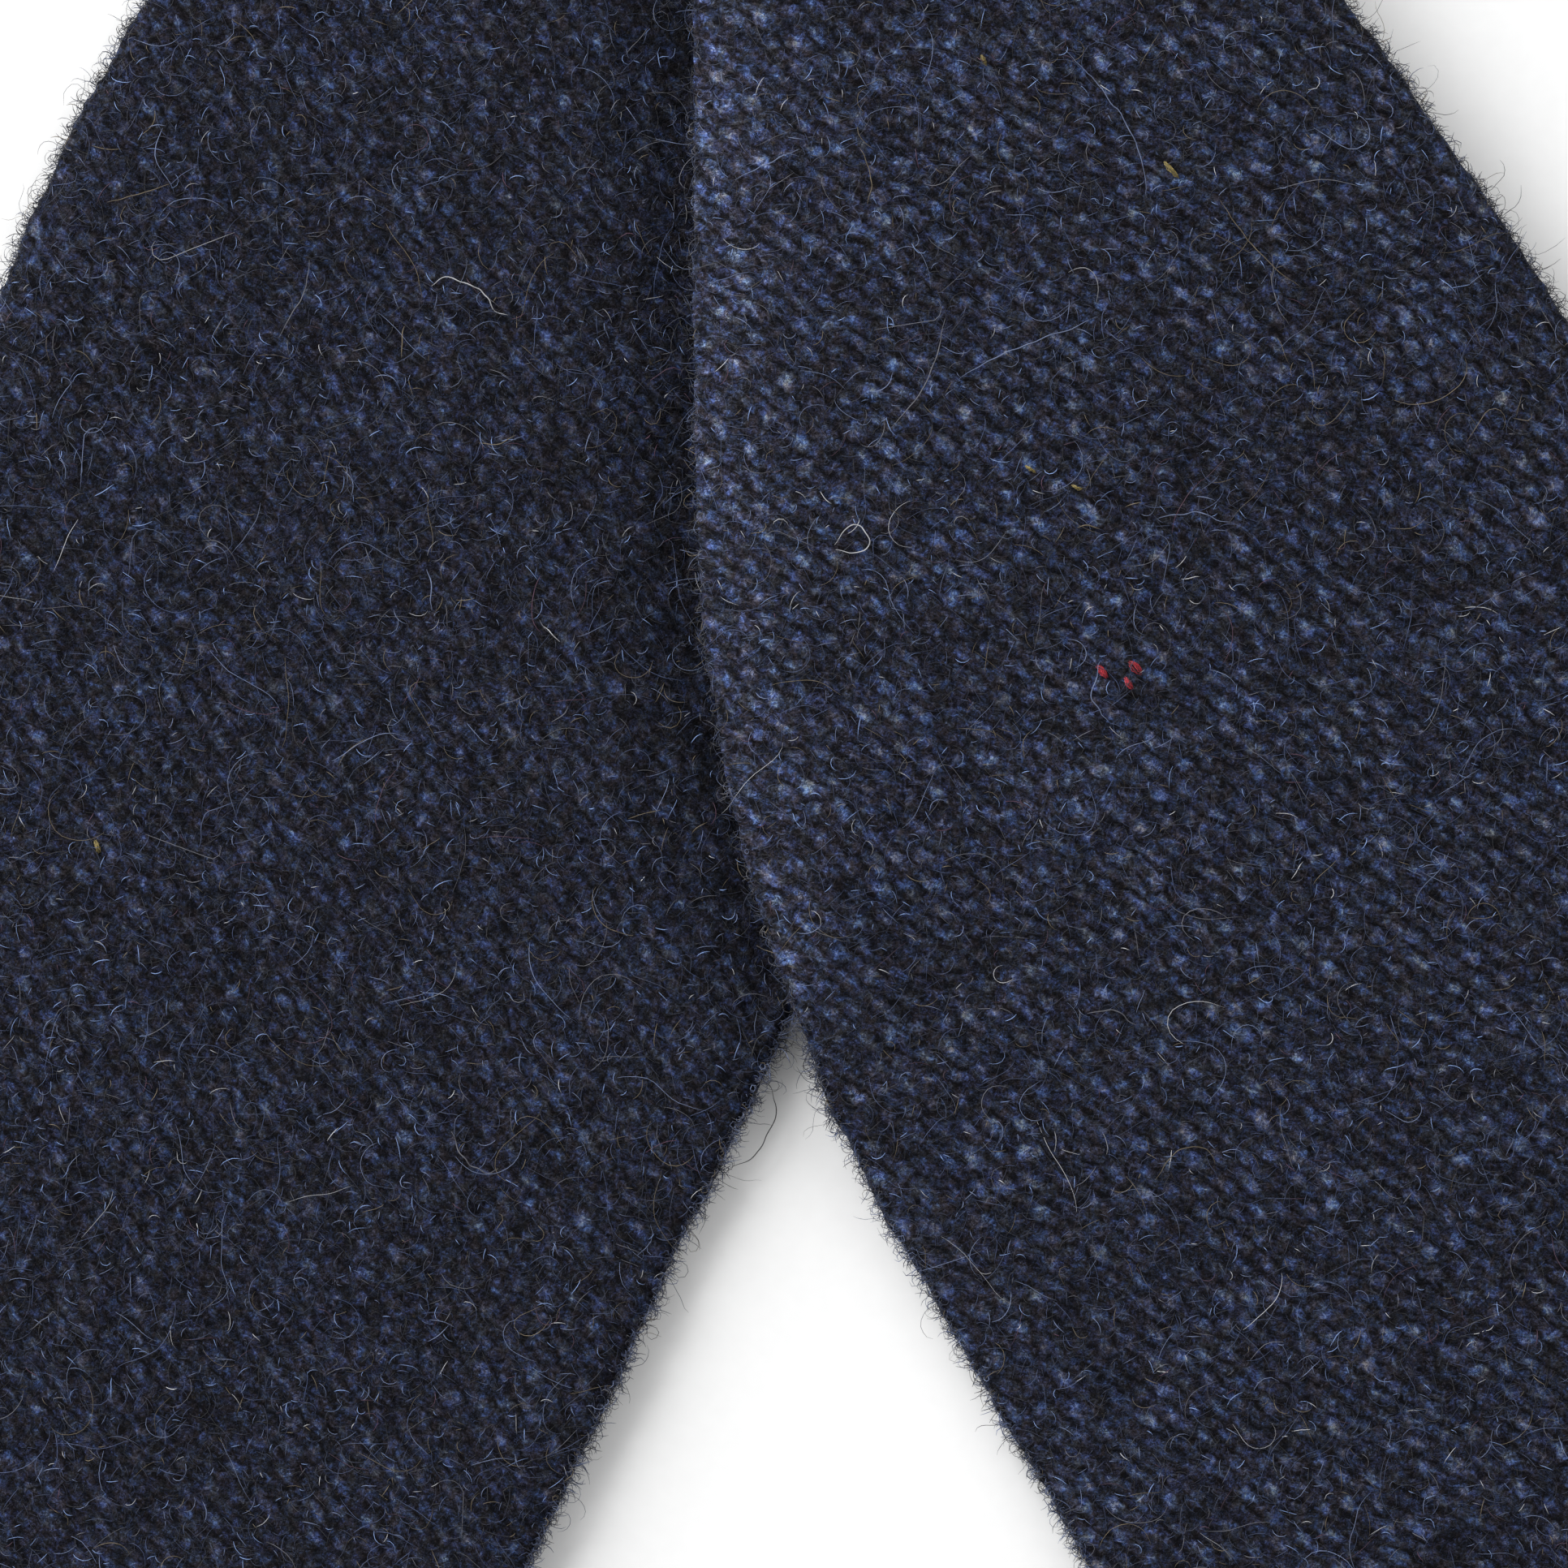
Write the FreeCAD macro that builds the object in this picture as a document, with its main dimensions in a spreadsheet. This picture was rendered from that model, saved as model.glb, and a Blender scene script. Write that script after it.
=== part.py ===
"""Untied self-tie bow tie of tweed, lying on a table with its neckband hooked into a loop.

The row frame has +Z up from the table and +Y from the blades towards the neck loop, with the origin under the
middle of the whole tie. Each half lies along its own strap line. The two lines cross at one point, the right
half on top, and each half is modelled in a local frame with its origin at that crossing and +X running up its
strap towards the loop. The straps twist from lying flat to standing on edge, and close in a round neckband.
"""
import FreeCAD, Part
import math
import os
import Sketcher

DIMENSIONS = [
    # name, value in millimetres or degrees, meaning
    ("splay", 15.85, "angle between each strap line and the centre line, degrees"),
    ("right_reach", 107.6, "crossing of the straps to the widest line of the right blade"),
    ("left_reach", 92.9, "crossing of the straps to the widest line of the left blade"),
    ("flare_reach", 85.2, "widest line to the start of the strap"),
    ("shoulder_reach", 13.1, "widest line to the corner of the shoulder"),
    ("waist_reach", 64.0, "widest line to the corner of the waist"),
    ("tip_reach", 112.0, "widest line to the square tip"),
    ("strap_half", 10.5, "half the width of the strap"),
    ("shoulder_half", 33.7, "half the width at the shoulder corner, before rounding"),
    ("waist_half", 17.1, "half the width at the waist corner, before rounding"),
    ("tip_half", 29.5, "half the width of the tip"),
    ("flare_round", 60.0, "radius where the strap flares into the blade"),
    ("shoulder_round", 100.0, "radius of the shoulder"),
    ("waist_round", 80.0, "radius of the waist"),
    ("tip_round", 3.0, "radius of the tip's corners"),
    ("cloth", 1.0, "thickness of one layer of tweed"),
    ("core", 0.65, "thickness of the interlining"),
    ("ease", 0.05, "air between two layers"),
    ("seam", 6.5, "seam allowance, which the interlining stays inside"),
    ("strap_seam", 1.6, "width of the turned edge along the strap"),
    ("left_flat", 44.0, "how far the left strap lies flat past the crossing"),
    ("left_edge_on", 78.0, "where the left strap stands fully on edge"),
    ("right_flat", 42.0, "how far the right strap runs straight past the crossing"),
    ("right_edge_on", 86.0, "where the right strap stands fully on edge"),
    ("tip_rise", 7.0, "height of the right half over the table at the crossing"),
    ("side_run", 166.0, "crossing to the start of the round neckband"),
    ("band_low", 1.75, "height of the lower edge of the strap where it stands on edge"),
    ("left_end", 82.0, "crossing to the end of the tweed on the left strap"),
    ("right_end", 164.0, "crossing to the end of the tweed on the right strap, on the side of the left strap"),
    ("tape", 1.2, "thickness of the adjuster tape"),
    ("tape_half", 10.0, "half the width of the adjuster tape"),
    ("plate", 1.2, "thickness of the stamped fittings"),
    ("rail", 1.6, "width of the fittings' rails"),
    ("bar_width", 1.2, "width of the slider's middle bar"),
    ("slot_half", 10.8, "half the height of a slot that tape runs through"),
    ("slider_at", 104.0, "crossing to the middle of the slider"),
    ("slider_slot", 6.4, "length of each slot of the slider"),
    ("slider_lift", 1.4, "distance of the slider's plate outside the tape"),
    ("hook_bar_at", 132.0, "crossing to the bar of the hook"),
    ("hook_reach", 12.5, "bar of the hook to the bar that it catches"),
    ("hook_slot", 4.8, "length of the hook's slot"),
    ("tongue_half", 4.0, "half the height of the hook's tongue"),
    ("curl", 2.0, "radius of the tongue's curl"),
    ("tongue", 1.0, "thickness of the tongue"),
    ("fold", 1.5, "radius of a fold of tape round a bar"),
    ("core_gap", 0.2, "gap round the interlining"),
    ("left_joint", 0.2, "gap between the left blade and its strap"),
    ("right_joint", 0.3, "gap between the right blade, which slopes, and its strap"),
    ("tape_gap", 0.1, "gap between two stretches of tape"),
    ("ramp_foot", 0.9, "length of tape beside the slider's end rail before it rises"),
    ("ramp_head", 0.6, "length of level tape beside the slider's middle bar"),
    ("hump_gap", 0.2, "gap under the tape that passes over the slider's middle bar"),
    ("fold_lead", 5.0, "length of the tape doubled behind the bar of the hook"),
    ("eye_return", 2.0, "overlap of the end tape's return with the tweed"),
    ("tongue_root", 0.4, "length of the tongue's level root beyond the hook's plate"),
    ("tongue_rise", 2.0, "length over which the tongue rises"),
    ("tongue_lip", 2.0, "length of the tongue's free end behind its curl"),
    ("eye_gap", 1.5, "gap between the tongue and the sides of the eye's nose"),
    ("nose_rail", 2.0, "width of the sides of the eye's nose"),
    ("nose", 5.0, "length of the eye's nose"),
    ("catch_radius", 0.7, "radius of the bar that the hook catches"),
    ("catch_root", 1.0, "length of that bar's ends inside the eye's plate"),
    ("bar_root", 0.7, "length of a bar's ends inside its plate"),
    ("stitch", 0.5, "width of a stitch"),
    ("stitch_length", 2.2, "length of a slip stitch"),
    ("stitch_depth", 0.3, "thickness of a slip stitch and of the care label"),
    ("stitch_pitch", 4.0, "distance from one slip stitch to the next"),
    ("stitch_start", 2.0, "crossing to the first slip stitch"),
    ("stitch_gap", 0.02, "gap between a slip stitch and the edge of the strap"),
    ("stitch_drop", 0.2, "depth of a slip stitch below the top of the back cloth"),
    ("tack_length", 1.4, "length of a stitch of the end tape's tack"),
    ("tack_pitch", 3.0, "distance from one stitch of the tack to the next"),
    ("tack_low", 8.2, "middle of the band to the lowest stitch of the tack"),
    ("tack_at", 2.5, "bar of the eye to the tack"),
    ("tack_gap", 0.05, "gap between the tack and the tape"),
    ("label_length", 26.0, "length of the care label"),
    ("label_half", 6.0, "half the width of the care label"),
    ("label_at", 12.0, "where the strap stands on edge to the care label"),
    ("label_gap", 0.1, "gap between the care label and the strap"),
]

CROSSING_FROM_TIP = "(dims.right_reach + dims.tip_reach)"
TOTAL = "(2 * dims.cloth + dims.core + 2 * dims.ease)"
TWIST_STEPS = 4
SLIP_STITCHES = 9
TACK_STITCHES = 6
NEAR = 0.01  # millimetres within which two places count as one
ALONG = 0.999  # cosine above which two directions count as one
AXIS_HALF = 50  # half the drawn length of the neckband's axis, millimetres
LEAST_VOLUME = 0.1  # cubic millimetres

os.makedirs("parts", exist_ok=True)
doc = FreeCAD.newDocument("bow_tie")
dims = doc.addObject("Spreadsheet::Sheet", "dims")
for row, (name, amount, meaning) in enumerate(DIMENSIONS, start=1):
    dims.set(f"A{row}", meaning)
    dims.set(f"B{row}", str(amount))
    dims.setAlias(f"B{row}", name)
doc.recompute()

nodes = []


def value(expression):
    """The number that an expression over the spreadsheet gives."""
    return float(dims.evalExpression(str(expression)))


# ---- where each half lies ------------------------------------------------------------------------------------

splay = value("dims.splay")
neck_radius = "(dims.side_run * tan(dims.splay))"
top_y = f"({neck_radius} + {TOTAL} / 2 + dims.side_run / cos(dims.splay))"
bottom_y = f"({CROSSING_FROM_TIP} * cos(dims.splay) + dims.tip_half * sin(dims.splay))"
crossing_y = f"(({bottom_y} - {top_y}) / 2)"
right_tip_x = f"({CROSSING_FROM_TIP} * sin(dims.splay) + dims.tip_half * cos(dims.splay))"
left_tip_x = "((dims.left_reach + dims.tip_reach) * sin(dims.splay) + dims.tip_half * cos(dims.splay))"
crossing_x = f"(({left_tip_x} - {right_tip_x}) / 2)"
ON_EDGE_MIDDLE = "(dims.band_low + dims.strap_half)"
TILT = f"asin(dims.tip_rise / {CROSSING_FROM_TIP})"


def lay(piece, half):
    """Puts a piece drawn in a half's local frame where that half lies."""
    turn = {"left": "90 - dims.splay", "right": "90 + dims.splay"}[half]
    piece.Placement = FreeCAD.Placement(FreeCAD.Vector(), FreeCAD.Rotation(FreeCAD.Vector(0, 0, 1), 1))
    piece.setExpression("Placement.Base.x", crossing_x)
    piece.setExpression("Placement.Base.y", crossing_y)
    piece.setExpression("Placement.Rotation.Angle", turn)


def lay_tilted(piece):
    """Puts a flat piece of the right half on the slope from the table at its tip to its height at the crossing."""
    turn = FreeCAD.Rotation(FreeCAD.Vector(0, 0, 1), 90 + splay)
    tilt = FreeCAD.Rotation(FreeCAD.Vector(0, 1, 0), -value(TILT))
    place = FreeCAD.Vector(value(crossing_x), value(crossing_y), value("dims.tip_rise"))
    piece.Placement = FreeCAD.Placement(place, turn.multiply(tilt))


# ---- sketches and features -----------------------------------------------------------------------------------


def new_body(label, compound=False):
    body = doc.addObject("PartDesign::Body", label)
    body.Label = label
    body.AllowCompound = compound
    nodes.append(body)
    return body


def new_sketch(body, name, plane):
    """A sketch on one of the body's own origin planes."""
    sketch = body.newObject("Sketcher::SketchObject", name)
    support = [feature for feature in body.Origin.OriginFeatures if feature.Role == plane][0]
    sketch.AttachmentSupport = [(support, "")]
    sketch.MapMode = "FlatFace"
    return sketch


def pin(sketch, corner, kind, axis, expression):
    """Holds one coordinate of a corner to an expression."""
    amount = value(expression)
    if amount == 0:
        sketch.addConstraint(Sketcher.Constraint("PointOnObject", corner, 1, axis))
        return
    if amount > 0:
        rule = Sketcher.Constraint(kind, -1, 1, corner, 1, amount)
        held = expression
    else:
        rule = Sketcher.Constraint(kind, corner, 1, -1, 1, -amount)
        held = f"-({expression})"
    index = sketch.addConstraint(rule)
    sketch.setExpression(f"Constraints[{index}]", held)


def add_loop(sketch, corners):
    """A closed polygon whose corners are pairs of expressions."""
    points = [FreeCAD.Vector(value(x), value(y), 0) for x, y in corners]
    first = sketch.GeometryCount
    count = len(points)
    for index, point in enumerate(points):
        sketch.addGeometry(Part.LineSegment(point, points[(index + 1) % count]))
    for index, (x, y) in enumerate(corners):
        following = first + (index + 1) % count
        sketch.addConstraint(Sketcher.Constraint("Coincident", first + index, 2, following, 1))
        pin(sketch, first + index, "DistanceX", -2, x)
        pin(sketch, first + index, "DistanceY", -1, y)


def box_corners(low_x, high_x, low_y, high_y):
    return [(low_x, low_y), (high_x, low_y), (high_x, high_y), (low_x, high_y)]


def pad(body, sketch, length, both_ways=False):
    feature = body.newObject("PartDesign::Pad", f"{sketch.Name}_pad")
    feature.Profile = sketch
    feature.setExpression("Length", length)
    if both_ways:
        feature.SideType = "Symmetric"
    return feature


def round_edges(body, base, pick, radius):
    """Fillets the edges of the base feature that pick chooses."""
    doc.recompute()
    names = [f"Edge{i}" for i, edge in enumerate(base.Shape.Edges, start=1) if pick(edge)]
    feature = body.newObject("PartDesign::Fillet", f"{body.Name}_round{len(body.Group)}")
    feature.Base = (base, names)
    feature.setExpression("Radius", radius)
    return feature


# ---- blades --------------------------------------------------------------------------------------------------


def blade_corners(reach, strap_end, inset="0"):
    """The outline of a blade and its flat strap: strap, flare, shoulder, waist and square tip."""
    side = [
        (strap_end, f"dims.strap_half - {inset}"),
        (f"dims.flare_reach - {reach}", f"dims.strap_half - {inset}"),
        (f"dims.shoulder_reach - {reach}", f"dims.shoulder_half - {inset}"),
        (f"-dims.waist_reach - {reach}", f"dims.waist_half - {inset}"),
        (f"-dims.tip_reach - {reach} + {inset}", f"dims.tip_half - {inset}"),
    ]
    return side + [(x, f"-({y})") for x, y in reversed(side)]


def round_blade(body, base, reach):
    """Rounds the upright corners of a blade's outline."""
    corners = [
        (f"dims.flare_reach - {reach}", "dims.strap_half", "dims.flare_round"),
        (f"dims.shoulder_reach - {reach}", "dims.shoulder_half", "dims.shoulder_round"),
        (f"-dims.waist_reach - {reach}", "dims.waist_half", "dims.waist_round"),
        (f"-dims.tip_reach - {reach}", "dims.tip_half", "dims.tip_round"),
    ]
    for along, across, radius in corners:
        x, y = value(along), value(across)

        def at_corner(edge, x=x, y=y):
            middle = edge.CenterOfMass
            return abs(middle.x - x) < NEAR and abs(abs(middle.y) - y) < NEAR

        base = round_edges(body, base, at_corner, radius)
    return base


def blade(half, reach, strap_end, place):
    """Front cloth with its edges turned down, interlining in the hollow, and back cloth below."""
    back = new_body(f"{half}_blade_back")
    sketch = new_sketch(back, f"{half}_back_outline", "XY_Plane")
    add_loop(sketch, blade_corners(reach, strap_end))
    round_blade(back, pad(back, sketch, "dims.cloth"), reach)
    place(back)

    front = new_body(f"{half}_blade_front")
    sketch = new_sketch(front, f"{half}_front_outline", "XY_Plane")
    sketch.setExpression("AttachmentOffset.Base.z", "dims.cloth + dims.ease")
    add_loop(sketch, blade_corners(reach, strap_end))
    solid = round_blade(front, pad(front, sketch, "dims.core + dims.cloth + dims.ease"), reach)
    hollow = new_sketch(front, f"{half}_front_hollow", "XY_Plane")
    hollow.setExpression("AttachmentOffset.Base.z", "dims.cloth + dims.ease")
    add_loop(hollow, blade_corners(reach, f"{strap_end} - dims.strap_seam", "dims.seam"))
    doc.recompute()
    before = solid.Shape.Volume
    pocket = front.newObject("PartDesign::Pocket", f"{half}_front_pocket")
    pocket.Profile = hollow
    pocket.Reversed = True
    pocket.setExpression("Length", "dims.core + dims.ease")
    doc.recompute()
    if pocket.Shape.Volume > before - 1:
        raise RuntimeError("the hollow of the front cloth cut nothing")
    place(front)

    core = new_body(f"{half}_blade_interlining")
    sketch = new_sketch(core, f"{half}_core_outline", "XY_Plane")
    sketch.setExpression("AttachmentOffset.Base.z", "dims.cloth + 1.5 * dims.ease")
    core_end = f"{strap_end} - dims.strap_seam - dims.core_gap"
    add_loop(sketch, blade_corners(reach, core_end, "(dims.seam + dims.core_gap)"))
    pad(core, sketch, "dims.core")
    place(core)


blade("left", "dims.left_reach", "dims.left_flat - dims.left_joint", lambda piece: lay(piece, "left"))
blade("right", "dims.right_reach", "dims.right_flat - dims.right_joint", lay_tilted)

# ---- straps --------------------------------------------------------------------------------------------------

HALF_TOTAL = f"({TOTAL} / 2)"
CORE_TOP = f"({HALF_TOTAL} - dims.cloth)"
SECTIONS = {
    # corners across the strap and through its thickness, from its middle; the front cloth is a shallow channel
    "front": [
        ("-dims.strap_half", f"-{CORE_TOP}"),
        ("-dims.strap_half + dims.strap_seam", f"-{CORE_TOP}"),
        ("-dims.strap_half + dims.strap_seam", CORE_TOP),
        ("dims.strap_half - dims.strap_seam", CORE_TOP),
        ("dims.strap_half - dims.strap_seam", f"-{CORE_TOP}"),
        ("dims.strap_half", f"-{CORE_TOP}"),
        ("dims.strap_half", HALF_TOTAL),
        ("-dims.strap_half", HALF_TOTAL),
    ],
    "interlining": box_corners(
        "-dims.strap_half + dims.strap_seam + dims.core_gap",
        "dims.strap_half - dims.strap_seam - dims.core_gap",
        "-dims.core / 2 + dims.ease / 2",
        "dims.core / 2 - dims.ease / 2",
    ),
    "back": box_corners(
        "-dims.strap_half", "dims.strap_half", f"-{HALF_TOTAL}", f"-{CORE_TOP} - dims.ease"
    ),
}


def section(body, name, layer, along, height, turn):
    """One cross-section of a strap layer, standing across the strap and turned about its middle."""
    sketch = new_sketch(body, name, "YZ_Plane")
    sketch.AttachmentOffset = FreeCAD.Placement(FreeCAD.Vector(), FreeCAD.Rotation(FreeCAD.Vector(0, 0, 1), 1))
    sketch.setExpression("AttachmentOffset.Base.y", height)
    sketch.setExpression("AttachmentOffset.Base.z", along)
    sketch.setExpression("AttachmentOffset.Rotation.Angle", turn)
    add_loop(sketch, SECTIONS[layer])
    return sketch


def twist(body, layer, start, end, lift, quarter):
    """The stretch in which the strap turns from flat to standing on edge; quarter is 90 or -90 degrees.

    Its lower edge starts at the height lift and comes to the height at which the band stands on edge, sinking
    faster at first, so that its upper edge rises evenly.
    """
    sketches = []
    for step in range(TWIST_STEPS + 1):
        share = step / TWIST_STEPS
        eased = share * share * (3 - 2 * share)
        along = f"{start} + ({end} - ({start})) * {share}"
        reach = f"{HALF_TOTAL} * cos(90 * {eased}) + dims.strap_half * sin(90 * {eased})"
        height = f"{reach} + {lift} * {(1 - eased) ** 2} + dims.band_low * {eased}"
        name = f"{body.Name}_turn{step}"
        sketches.append(section(body, name, layer, along, height, f"{quarter} * {eased}"))
    loft = body.newObject("PartDesign::AdditiveLoft", f"{body.Name}_twist")
    loft.Profile = sketches[0]
    loft.Sections = sketches[1:]
    return loft


def end_face(feature, point, normal):
    """The name of the flat face that stands nearest to a point and looks along a normal."""
    doc.recompute()
    best = None
    for index, face in enumerate(feature.Shape.Faces, start=1):
        middle = face.CenterOfMass
        facing = face.normalAt(0, 0).dot(normal)
        if facing > ALONG and (best is None or middle.distanceToPoint(point) < best[0]):
            best = (middle.distanceToPoint(point), f"Face{index}")
    return best[1]


def left_strap(layer):
    body = new_body(f"left_strap_{layer}")
    twist(body, layer, "dims.left_flat", "dims.left_edge_on", "0", 90)
    wall = section(body, f"{body.Name}_wall", layer, "dims.left_edge_on", ON_EDGE_MIDDLE, "90")
    pad(body, wall, "dims.left_end - dims.left_edge_on")
    lay(body, "left")


def right_strap(layer):
    """Twist, left side on edge, round neckband and right side down to the end tape."""
    body = new_body(f"right_strap_{layer}")
    lift = f"dims.tip_rise * (1 + dims.right_flat / {CROSSING_FROM_TIP})"
    twist(body, layer, "dims.right_flat", "dims.right_edge_on", lift, -90)
    wall = section(body, f"{body.Name}_wall", layer, "dims.right_edge_on", ON_EDGE_MIDDLE, "-90")
    pad(body, wall, "dims.side_run - dims.right_edge_on")
    bend = section(body, f"{body.Name}_bend", layer, "dims.side_run", ON_EDGE_MIDDLE, "-90")
    radius = value(neck_radius)
    axis = Part.LineSegment(FreeCAD.Vector(-AXIS_HALF, -radius, 0), FreeCAD.Vector(AXIS_HALF, -radius, 0))
    line = bend.addGeometry(axis, True)
    bend.addConstraint(Sketcher.Constraint("Horizontal", line))
    held = bend.addConstraint(Sketcher.Constraint("DistanceY", line, 1, -1, 1, radius))
    bend.setExpression(f"Constraints[{held}]", neck_radius)
    doc.recompute()
    arc = body.newObject("PartDesign::Revolution", f"{body.Name}_neck")
    arc.Profile = bend
    arc.ReferenceAxis = (bend, ["Axis0"])
    arc.setExpression("Angle", "180 + 2 * dims.splay")
    heading = FreeCAD.Rotation(FreeCAD.Vector(0, 0, 1), -2 * splay)
    inward = heading.multVec(FreeCAD.Vector(-1, 0, 0))
    arc_end = heading.multVec(FreeCAD.Vector(value("dims.side_run"), 0, 0))
    arc_end.z = value(ON_EDGE_MIDDLE)
    doc.recompute()
    if arc.Shape.BoundBox.YMin > -radius:
        arc.Reversed = True
    side = body.newObject("PartDesign::Pad", f"{body.Name}_side")
    side.Profile = (arc, [end_face(arc, arc_end, inward)])
    side.setExpression("Length", "dims.side_run - dims.right_end")
    lay(body, "right")


for layer_name in SECTIONS:
    left_strap(layer_name)
    right_strap(layer_name)

# ---- adjuster tape and end tape ------------------------------------------------------------------------------

FOLD_LINE = "(-dims.fold)"
RETURN_LINE = "(-2 * dims.fold)"


def path_sketch(name, points):
    """An open path seen from above: straight runs, with an arc through each point marked as a fold's middle."""
    sketch = doc.addObject("Sketcher::SketchObject", name)
    place = [FreeCAD.Vector(value(x), -value(y), 0) for x, y, kind in points]
    kinds = [kind for x, y, kind in points]
    index = 0
    while index < len(points) - 1:
        if kinds[index + 1] == "fold":
            sketch.addGeometry(Part.Arc(place[index], place[index + 1], place[index + 2]))
            index += 2
        else:
            sketch.addGeometry(Part.LineSegment(place[index], place[index + 1]))
            index += 1
    return sketch


def ribbon(label, points, height, thickness="dims.tape"):
    """A tape standing on edge that follows a path; the path's second value is its distance outside the band."""
    path = path_sketch(f"{label}_path", points)
    outline = doc.addObject("Part::Offset2D", f"{label}_outline")
    outline.Source = path
    outline.Mode = "Pipe"
    outline.Join = 0
    outline.Fill = True
    outline.setExpression("Value", f"{thickness} / 2")
    solid = doc.addObject("Part::Extrusion", label)
    solid.Base = outline
    solid.DirMode = "Custom"
    solid.Dir = FreeCAD.Vector(0, 0, 1)
    solid.Solid = True
    solid.setExpression("LengthFwd", f"2 * {height}")
    solid.Label = label
    solid.Placement = FreeCAD.Placement(FreeCAD.Vector(), FreeCAD.Rotation(FreeCAD.Vector(0, 0, 1), 1))
    solid.setExpression("Placement.Rotation.Angle", "90 - dims.splay")
    solid.setExpression("Placement.Base.x", crossing_x)
    solid.setExpression("Placement.Base.y", crossing_y)
    solid.setExpression("Placement.Base.z", f"{ON_EDGE_MIDDLE} - {height}")
    return solid


def tape(label, points):
    nodes.append(ribbon(label, points, "dims.tape_half"))


def straight_tape(label, start, end, outside):
    """A straight stretch of tape, drawn as a box in the left half's frame."""
    block = doc.addObject("Part::Box", f"{label}_block")
    block.setExpression("Length", f"({end}) - ({start})")
    block.setExpression("Width", "dims.tape")
    block.setExpression("Height", "2 * dims.tape_half")
    block.setExpression("Placement.Base.x", start)
    block.setExpression("Placement.Base.y", f"-({outside}) - dims.tape / 2")
    block.setExpression("Placement.Base.z", f"{ON_EDGE_MIDDLE} - dims.tape_half")
    stretch = doc.addObject("Part::Compound", label)
    stretch.Links = [block]
    nodes.append(stretch)
    lay(stretch, "left")


SLIDER_HALF = "(dims.slider_slot + 1.5 * dims.rail)"
HUMP = "(dims.slider_lift + dims.fold + dims.tape + dims.hump_gap)"
PASS_START = f"(dims.slider_at - {SLIDER_HALF})"
PASS_END = f"(dims.slider_at + {SLIDER_HALF})"
FOLD_START = "(dims.hook_bar_at - dims.fold_lead)"
EYE_BAR = "(dims.hook_bar_at + 2 * dims.hook_reach)"
CATCH = "(dims.hook_bar_at + dims.hook_reach)"

straight_tape("adjuster_tape_lead", "dims.left_end + dims.tape_gap", f"{PASS_START} - dims.tape_gap", "0")
tape("adjuster_tape_pass", [
    (f"{PASS_START} + dims.tape / 2", "0", "run"),
    (f"{PASS_START} + dims.rail + dims.ramp_foot", "0", "run"),
    ("dims.slider_at - dims.rail - dims.ramp_head", HUMP, "run"),
    ("dims.slider_at + dims.rail + dims.ramp_head", HUMP, "run"),
    (f"{PASS_END} - dims.rail - dims.ramp_foot", "0", "run"),
    (f"{PASS_END} - dims.tape / 2", "0", "run"),
])
run_start, run_end = f"{PASS_END} + dims.tape_gap", f"{FOLD_START} - dims.tape_gap"
straight_tape("adjuster_tape_run", run_start, run_end, "0")
tape("hook_fold", [
    (f"{FOLD_START} + dims.tape / 2", "0", "run"),
    ("dims.hook_bar_at", "0", "run"),
    ("dims.hook_bar_at + dims.fold", FOLD_LINE, "fold"),
    ("dims.hook_bar_at", RETURN_LINE, "run"),
    (f"{FOLD_START} + dims.tape / 2", RETURN_LINE, "run"),
])
straight_tape("adjuster_tape_return", run_start, run_end, RETURN_LINE)
tape("adjuster_tape_end", [
    ("dims.slider_at", "dims.slider_lift + dims.fold", "run"),
    ("dims.slider_at - dims.fold", "dims.slider_lift", "fold"),
    ("dims.slider_at", "dims.slider_lift - dims.fold", "run"),
    (f"{PASS_END} - dims.rail", RETURN_LINE, "run"),
    (f"{PASS_END} - dims.tape / 2", RETURN_LINE, "run"),
])
tape("eye_tape", [
    ("dims.right_end - dims.tape / 2 - dims.tape_gap", "0", "run"),
    (EYE_BAR, "0", "run"),
    (f"{EYE_BAR} - dims.fold", FOLD_LINE, "fold"),
    (EYE_BAR, RETURN_LINE, "run"),
    ("dims.right_end - dims.eye_return", RETURN_LINE, "run"),
])

# ---- fittings ------------------------------------------------------------------------------------------------


def plate(body, name, outside, loops):
    """A stamped plate that stands on edge along the band, drawn from outside; loops hold its outline and slots."""
    sketch = new_sketch(body, name, "XZ_Plane")
    sketch.setExpression("AttachmentOffset.Base.y", ON_EDGE_MIDDLE)
    sketch.setExpression("AttachmentOffset.Base.z", outside)
    for corners in loops:
        add_loop(sketch, corners)
    return pad(body, sketch, "dims.plate", both_ways=True)


def round_bar(body, name, along, outside, radius, half_height):
    """An upright round bar, which a fold of tape or the tongue turns on."""
    rod = body.newObject("PartDesign::AdditiveCylinder", name)
    support = [feature for feature in body.Origin.OriginFeatures if feature.Role == "XY_Plane"][0]
    rod.AttachmentSupport = [(support, "")]
    rod.MapMode = "FlatFace"
    rod.setExpression("Radius", radius)
    rod.setExpression("Height", f"2 * {half_height}")
    rod.setExpression("AttachmentOffset.Base.x", along)
    rod.setExpression("AttachmentOffset.Base.y", f"-({outside})")
    rod.setExpression("AttachmentOffset.Base.z", f"{ON_EDGE_MIDDLE} - {half_height}")
    return rod


def round_outside(body, base, low, high):
    """Rounds the corners of a plate that stand outside the slots, between two places along the band."""
    limit = value("dims.slot_half")
    middle = value(ON_EDGE_MIDDLE)

    def outer(edge):
        centre = edge.CenterOfMass
        box = edge.BoundBox
        across = box.XLength < NEAR and box.ZLength < NEAR
        return across and abs(centre.z - middle) > limit + NEAR and value(low) < centre.x < value(high)

    return round_edges(body, base, outer, "dims.plate")


OUTER = ON_EDGE_MIDDLE
SLOT = "dims.slot_half"

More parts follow.
